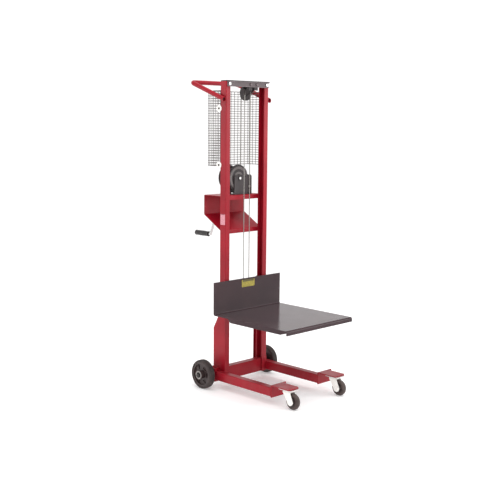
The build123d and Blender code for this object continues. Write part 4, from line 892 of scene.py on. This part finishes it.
BOLT_RADIUS = 5 * MM
FLATS = 15 * MM
HEAD = 6 * MM
OUTER_BOLT_X = 144 * MM  # from the mast's middle
BRACKET_INSET = 12 * MM
PLATE_HALF = 4 * MM  # half the thickness that the head bolts clamp
BASE_MIDDLE = 57 * MM  # winch base's front edge to the middle of its bolts
BASE_HALF_PITCH = 22.8 * MM
head_low, head_high = corners("head_channel")
plate_middle_z = (head_low[2] + head_high[2]) / 2
bracket_low, bracket_high = corners("sheave_bracket")
bolt_xs = [
    -OUTER_BOLT_X, bracket_low[0] + BRACKET_INSET, bracket_high[0] - BRACKET_INSET, OUTER_BOLT_X,
]
bolts, painted_bolts = [], []
for place, x in enumerate(bolt_xs):
    front = np.array([x, head_high[1] - PLATE_HALF, plate_middle_z])
    rear = front + (0, 2 * PLATE_HALF, 0)
    group = painted_bolts if place in (1, 2) else bolts
    group.append(hexagon_head(front, -AXIS_Y, FLATS, HEAD))
    group.append(hexagon_head(rear, AXIS_Y, FLATS, HEAD * 0.85))
make_piece("painted_bolts", painted_bolts, head_enamel, "frame")
base_low = corners("winch_frame")[0]
shelf_top = base_low[2]
base_mid_y = base_low[1] + BASE_MIDDLE
for x in (-12 * MM, 84 * MM):
    for y in (base_mid_y - BASE_HALF_PITCH, base_mid_y + BASE_HALF_PITCH):
        over = np.array([x, y, shelf_top + 4 * MM])
        under = np.array([x, y, shelf_top - 3 * MM])
        bolts.append(flat_washer(over, AXIS_Z, BOLT_RADIUS, 10 * MM, 1.2 * MM))
        bolts.append(hexagon_head(over + (0, 0, 1.2 * MM), AXIS_Z, FLATS, HEAD * 0.8))
        bolts.append(hexagon_head(under, -AXIS_Z, FLATS, HEAD * 0.9))
bolt_set = make_piece("hexagon_bolts", bolts, bright_zinc, "frame")
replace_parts(bolt_set, "frame_bolts")

# %% [markdown]
# ## Guard bolts
# Four small bolts hold the guard's wings, one through the middle of each big pale washer. Each
# has its head outside and its nut inside, and the same hexagon formula serves both.

# %% Guard bolts
WASHER_RADIUS = 19 * MM
SMALL_FLATS = 9.5 * MM
SMALL_HEAD = 4 * MM
TAB_SHEET = 3 * MM
bolt_y = middle("guard_bolts")[1]
washer_low, washer_high = corners("guard_washers")
outer, inner = washer_high[0], corners("guard_tabs")[1][0] - TAB_SHEET
small_bolts = [
    hexagon_head(np.array([side * x, bolt_y, z]), side * out * AXIS_X, SMALL_FLATS, SMALL_HEAD)
    for side in (-1, 1)
    for z in (washer_low[2] + WASHER_RADIUS, washer_high[2] - WASHER_RADIUS)
    for x, out in ((outer, 1), (inner, -1))
]
guard_bolt_set = make_piece("guard_hexagon_bolts", small_bolts, blackened_steel, "frame")
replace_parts(guard_bolt_set, "guard_bolts")

# %% [markdown]
# ## Drum shaft
# The winch's drum turns on a plated shaft. Its ends are chamfered, as a lathe leaves them, and
# a shaft is the simplest outline to turn.

# %% Drum shaft
SHAFT_RADIUS = 7.8 * MM
CHAMFER = 1.2 * MM
shaft_low, shaft_high = corners("drum_shaft")
shaft_axis = middle("drum_shaft") * (1, 0, 1)
front_end, rear_end = shaft_low[1], shaft_high[1]
shaft_outline = [
    (0, front_end), (SHAFT_RADIUS - CHAMFER, front_end), (SHAFT_RADIUS, front_end + CHAMFER),
    (SHAFT_RADIUS, rear_end - CHAMFER), (SHAFT_RADIUS - CHAMFER, rear_end), (0, rear_end),
]
shaft = make_piece(
    "drum_shaft_steel", [turned(shaft_axis, AXIS_Y, shaft_outline, sides=40)],
    bright_zinc, "frame",
)
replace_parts(shaft, "drum_shaft")

# %% [markdown]
# ## The gear's web
# The drum's gear is a casting whose web is stepped: a raised ring near its hub and another
# under its teeth. Each step is a low ring with sloping sides, turned about the drum's axis, and
# its paler gray is a painted highlight on the raised faces.

# %% Gear web
STEP = 1 * MM  # height of a ring, and the width of its sloping sides
gear_axis = middle("drum_gear") * (1, 0, 1) + AXIS_Y * corners("drum_gear")[0][1]
raised_rings = []
for inner, outer in ((22 * MM, 36 * MM), (52 * MM, 66 * MM)):
    outline = [(inner, 0), (inner + STEP, STEP), (outer - STEP, STEP), (outer, 0)]
    raised_rings.append(turned(gear_axis, -AXIS_Y, outline, sides=96, closed=True))
# Paler paint on the rings: a painted highlight.
make_piece("gear_web_rings", raised_rings, ring_highlight_paint, "drum")

# %% [markdown]
# ## Shaft nuts
# A nut on each end of the drum's shaft holds it in the winch's frame. It is a hexagon like the
# bolt heads, so the same function makes it.

# %% Shaft nuts
NUT_FLATS = 20.6 * MM
NUT_HEIGHT = 4.4 * MM
nuts = [
    hexagon_head(shaft_axis + AXIS_Y * (front_end + HEAD), -AXIS_Y, NUT_FLATS, NUT_HEIGHT),
    hexagon_head(shaft_axis + AXIS_Y * (rear_end - HEAD), AXIS_Y, NUT_FLATS, NUT_HEIGHT),
]
make_piece("drum_shaft_nuts", nuts, blackened_steel, "frame")

# %% [markdown]
# ## Weld beads
# The mast and legs are welded, and a bead of ripples shows at each joint, painted over with
# the rest. A bead is a small tube half sunk in the corner, and its radius rises and falls
# once every ripple.

# %% Weld beads
RIPPLE = 3.2 * MM
BEAD = 2.2 * MM


def bead(start, end, size=BEAD):
    """Radius = size (1 + 0.14 cos(2 pi s / ripple)), closing to nothing at both ends."""
    path = line(start, end, 0.8 * MM)
    length = np.linalg.norm(path[-1] - path[0])
    along = np.linspace(0, length, len(path))
    to_end = np.clip(np.minimum(along, length - along) / (1.5 * size), 0, 1)
    radius = size * (1 + 0.14 * np.cos(2 * np.pi * along / RIPPLE)) * (0.15 + 0.85 * np.sqrt(to_end))
    tangent = unit(path[-1] - path[0])
    nearly_upright = abs(tangent[2]) >= 0.9
    side = unit(np.cross(tangent, AXIS_X if nearly_upright else AXIS_Z))
    return carried(path, side, radius[:, None, None] * circle(1.0, 8))


def bead_loop(low, high, plane):
    """Four beads round a rectangle that lies across the given axis."""
    one, two = [axis for axis in range(3) if axis != plane]
    spots = []
    for pick_one, pick_two in ((0, 0), (1, 0), (1, 1), (0, 1)):
        spot = np.array(low, float)
        spot[one] = (low, high)[pick_one][one]
        spot[two] = (low, high)[pick_two][two]
        spots.append(spot)
    return [bead(spots[i], spots[(i + 1) % 4]) for i in range(4)]


# %% [markdown]
# ## Frame welds
# Beads run round both ends of each leg and of the cross member, up the edge of each post, and
# beside the handle's two feet. All of them join one piece, which rides with the frame.

# %% Frame welds
LEG_WIDTH = 43 * MM
POST_BEAD = (50 * MM, 113 * MM)  # heights where the bead on a post starts and ends
HANDLE_FOOT_Z = 1624 * MM
HANDLE_HALF = 9 * MM
HANDLE_RUN = np.array([0, 38 * MM, 13.5 * MM])  # the handle's foot, along its slope
leg_low, leg_high = corners("legs")
bracket_front = corners("axle_brackets")[0][1]
post_side = corners("lower_posts")[1][0]
cross_low, cross_high = corners("cross_member")
beads = []
for near_x in (leg_high[0] - LEG_WIDTH, leg_low[0]):
    for end_y in (leg_high[1], leg_low[1]):
        beads += bead_loop(
            (near_x, end_y, leg_low[2]), (near_x + LEG_WIDTH, end_y, leg_high[2]), plane=1
        )
for side in (-1, 1):
    beads += bead_loop(
        (side * cross_high[0], cross_low[1], cross_low[2]),
        (side * cross_high[0], cross_high[1], cross_high[2]),
        plane=0,
    )
    foot, head = ((side * post_side, bracket_front, height) for height in POST_BEAD)
    beads.append(bead(foot, head))
handle_low, handle_high = corners("push_handle")
upright_low, upright_high = corners("upright_left")
for side in (-1, 1):
    outside = side * (upright_high[0] + 1.5 * MM)
    for height in (HANDLE_FOOT_Z - HANDLE_HALF, HANDLE_FOOT_Z + HANDLE_HALF):
        near = np.array([outside, upright_low[1] + 5 * MM, height])
        beads.append(bead(near, near + HANDLE_RUN, 2.0 * MM))
make_piece("frame_welds", beads, red_enamel, "frame", merge=False, crease=60)

# %% [markdown]
# ## Carriage welds
# Two upright beads on each side bar hold the deck's back plate to the carriage.

# %% Carriage welds
BAR_THICK = 10 * MM
BEAD_INSET = 4 * MM
bar_low, bar_high = corners("carriage_bars")
deck_beads = []
for side in (-1, 1):
    for x in (side * bar_high[0], side * (bar_high[0] - BAR_THICK)):
        foot = (x, bar_low[1], bar_low[2] + BEAD_INSET)
        deck_beads.append(bead(foot, (x, bar_low[1], bar_high[2] - BEAD_INSET)))
make_piece("carriage_welds", deck_beads, deck_enamel, "carriage", merge=False, crease=60)

# %% [markdown]
# ## Deck corners
# The deck's side lips are folded down and stop short of the front lip. On the real deck each
# lip tapers up towards the corner, so only a small notch is left. A short strip is carried
# along each edge to the corner, and its height shrinks evenly on the way.

# %% Deck corners
DECK_SHEET = 5 * MM
LIP_HEIGHT = 25 * MM
LIP_GAP = 47 * MM
CORNER_HEIGHT = 11 * MM
HAIR = 0.05 * MM  # the strip's faces lie this much inside the lip's, so they never coincide
deck_low, deck_high = corners("platform")
deck_top = deck_low[2] + LIP_HEIGHT
lip_path = line(
    (0, deck_low[1] + LIP_GAP + 0.5 * MM, deck_top), (0, deck_low[1] + DECK_SHEET / 2, deck_top), 4 * MM
)
lip_heights = np.linspace(LIP_HEIGHT - HAIR, CORNER_HEIGHT, len(lip_path))
under = np.full(len(lip_path), -DECK_SHEET / 2)
heights = np.stack([under, -lip_heights, -lip_heights, under], axis=-1)
lip_strips = []
for side in (-1, 1):
    outer, inner = side * (deck_high[0] - HAIR), side * (deck_high[0] - DECK_SHEET + HAIR)
    sideways = np.broadcast_to((outer, outer, inner, inner), heights.shape)
    lip_strips.append(carried(lip_path, AXIS_X, np.stack([sideways, heights], axis=-1)))
make_piece("deck_lip_ends", lip_strips, deck_enamel, "carriage", crease=30)

# %% [markdown]
# ## Handle plugs
# The handle's two tube ends are closed with dark plastic plugs, pushed well into the tube: a
# short stem and a low dome. Their dark maroon colour is partly painted shade of the tube's inside.

# %% Handle plugs
TUBE_RADIUS = 12.7 * MM
PLUG_DEPTH = 14 * MM
HANDLE_SLOPE = 0.36  # rise over run
plug_y = handle_low[1] + PLUG_DEPTH
plug_z = handle_low[2] + TUBE_RADIUS + PLUG_DEPTH * HANDLE_SLOPE
plug_outline = [
    (0, -3.0 * MM), (5 * MM, -2.8 * MM), (8.5 * MM, -2.0 * MM), (9.8 * MM, -0.6 * MM),
    (10.2 * MM, 0.8 * MM), (10.2 * MM, 9 * MM), (0, 9 * MM),
]
plug_shells = []
for side in (-1, 1):
    spot = np.array([side * (handle_high[0] - TUBE_RADIUS), plug_y, plug_z])
    plug_shells.append(turned(spot, AXIS_Y, plug_outline, sides=48))
make_piece("handle_plugs", plug_shells, plug_plastic_painted_shade, "frame")

# %% [markdown]
# ## Studio
# The machine stands on a pale paper sweep: a floor that curves up into a wall all round, so
# there is no horizon. The paper glows a little, which keeps it nearly white and the shadow on
# it faint.

# %% Floor and backdrop
FLOOR_REACH = 9.0
SWEEP_RADIUS = 5.0
PAPER_GLOW = 0.22
bend_turn = np.radians(np.linspace(-90, 0, 24))
floor_outline = [(0, 0), (2, 0), (5, 0)] + [
    (FLOOR_REACH + SWEEP_RADIUS * np.cos(t), SWEEP_RADIUS + SWEEP_RADIUS * np.sin(t))
    for t in bend_turn
]
floor_finish, _, floor_shader, _ = start_finish("studio_paper", Roughness=0.9)
floor_shader.inputs["Base Color"].default_value = linear("#f7f6f6")
floor_shader.inputs["Emission Color"].default_value = linear("#ffffff")
floor_shader.inputs["Emission Strength"].default_value = PAPER_GLOW
sweep = make_piece(
    "studio_sweep", [turned(np.zeros(3), AXIS_Z, floor_outline, sides=96)], floor_finish, None
)

# %% [markdown]
# ## Lamps and surroundings
# A large soft lamp hangs overhead, a smaller one stands ahead and to the right, and a faint
# one behind and to the left picks out the edges. The pale surroundings fill the shadows.

# %% Lamps and surroundings
world = bpy.data.worlds.new("pale_studio")
bpy.context.scene.world = world
world.use_nodes = True
surroundings = world.node_tree.nodes["Background"]
surroundings.inputs["Color"].default_value = linear("#ffffff")
surroundings.inputs["Strength"].default_value = 0.82


def soft_lamp(name, place, aim, size, watts):
    """A square area lamp at a place, turned so that its -Z axis points at the aim."""
    lamp = bpy.data.lights.new(name, "AREA")
    lamp.size = size
    lamp.energy = watts
    holder = bpy.data.objects.new(name, lamp)
    bpy.context.scene.collection.objects.link(holder)
    away = unit(np.array(place, float) - np.array(aim, float))
    across = unit(np.cross(AXIS_Z, away))
    upward = np.cross(away, across)
    turn = np.eye(4)
    turn[:3, 0], turn[:3, 1], turn[:3, 2], turn[:3, 3] = across, upward, away, place
    holder.matrix_world = Matrix(turn.tolist())
    print(f"{name}: {size} m wide, {watts} W")


soft_lamp("overhead_softbox", (0, -1.0, 4.6), (0, 0, 0), 4.0, 120)
soft_lamp("front_right_softbox", (3.2, -3.4, 1.85), (0, 0, 1.6), 1.5, 34)
soft_lamp("rear_left_softbox", (-3.4, 3.2, 1.85), (0, 0, 1.6), 1.5, 15)
bpy.context.scene.view_settings.view_transform = "Standard"

# %% [markdown]
# ## Camera
# The machine is seen from ahead and to one side, on the side where X is negative, from a
# standing person's eye height and through a long lens. The camera's turn is built from three
# directions: back towards the viewer, to the right and up.

# %% Camera
AZIMUTH, ELEVATION, ROLL = np.radians([-44.64, 8.02, 0.53])
CAMERA_PLACE = (-3.6378, -3.6224, 1.5111)
back = np.array(
    [
        np.sin(AZIMUTH) * np.cos(ELEVATION),
        -np.cos(AZIMUTH) * np.cos(ELEVATION),
        np.sin(ELEVATION),
    ]
)
level_right = np.array([np.cos(AZIMUTH), np.sin(AZIMUTH), 0])
level_up = np.cross(back, level_right)
right = np.cos(ROLL) * level_right + np.sin(ROLL) * level_up
up = np.cross(back, right)
pose = np.eye(4)
pose[:3, 0], pose[:3, 1], pose[:3, 2], pose[:3, 3] = right, up, back, CAMERA_PLACE
lens = bpy.data.cameras.new("studio_camera")
lens.lens = 66.26
lens.sensor_width = 36
camera = bpy.data.objects.new("studio_camera", lens)
bpy.context.scene.collection.objects.link(camera)
camera.matrix_world = Matrix(pose.tolist())
bpy.context.scene.camera = camera
print("camera at", CAMERA_PLACE, "with a lens of", round(lens.lens, 2), "mm")
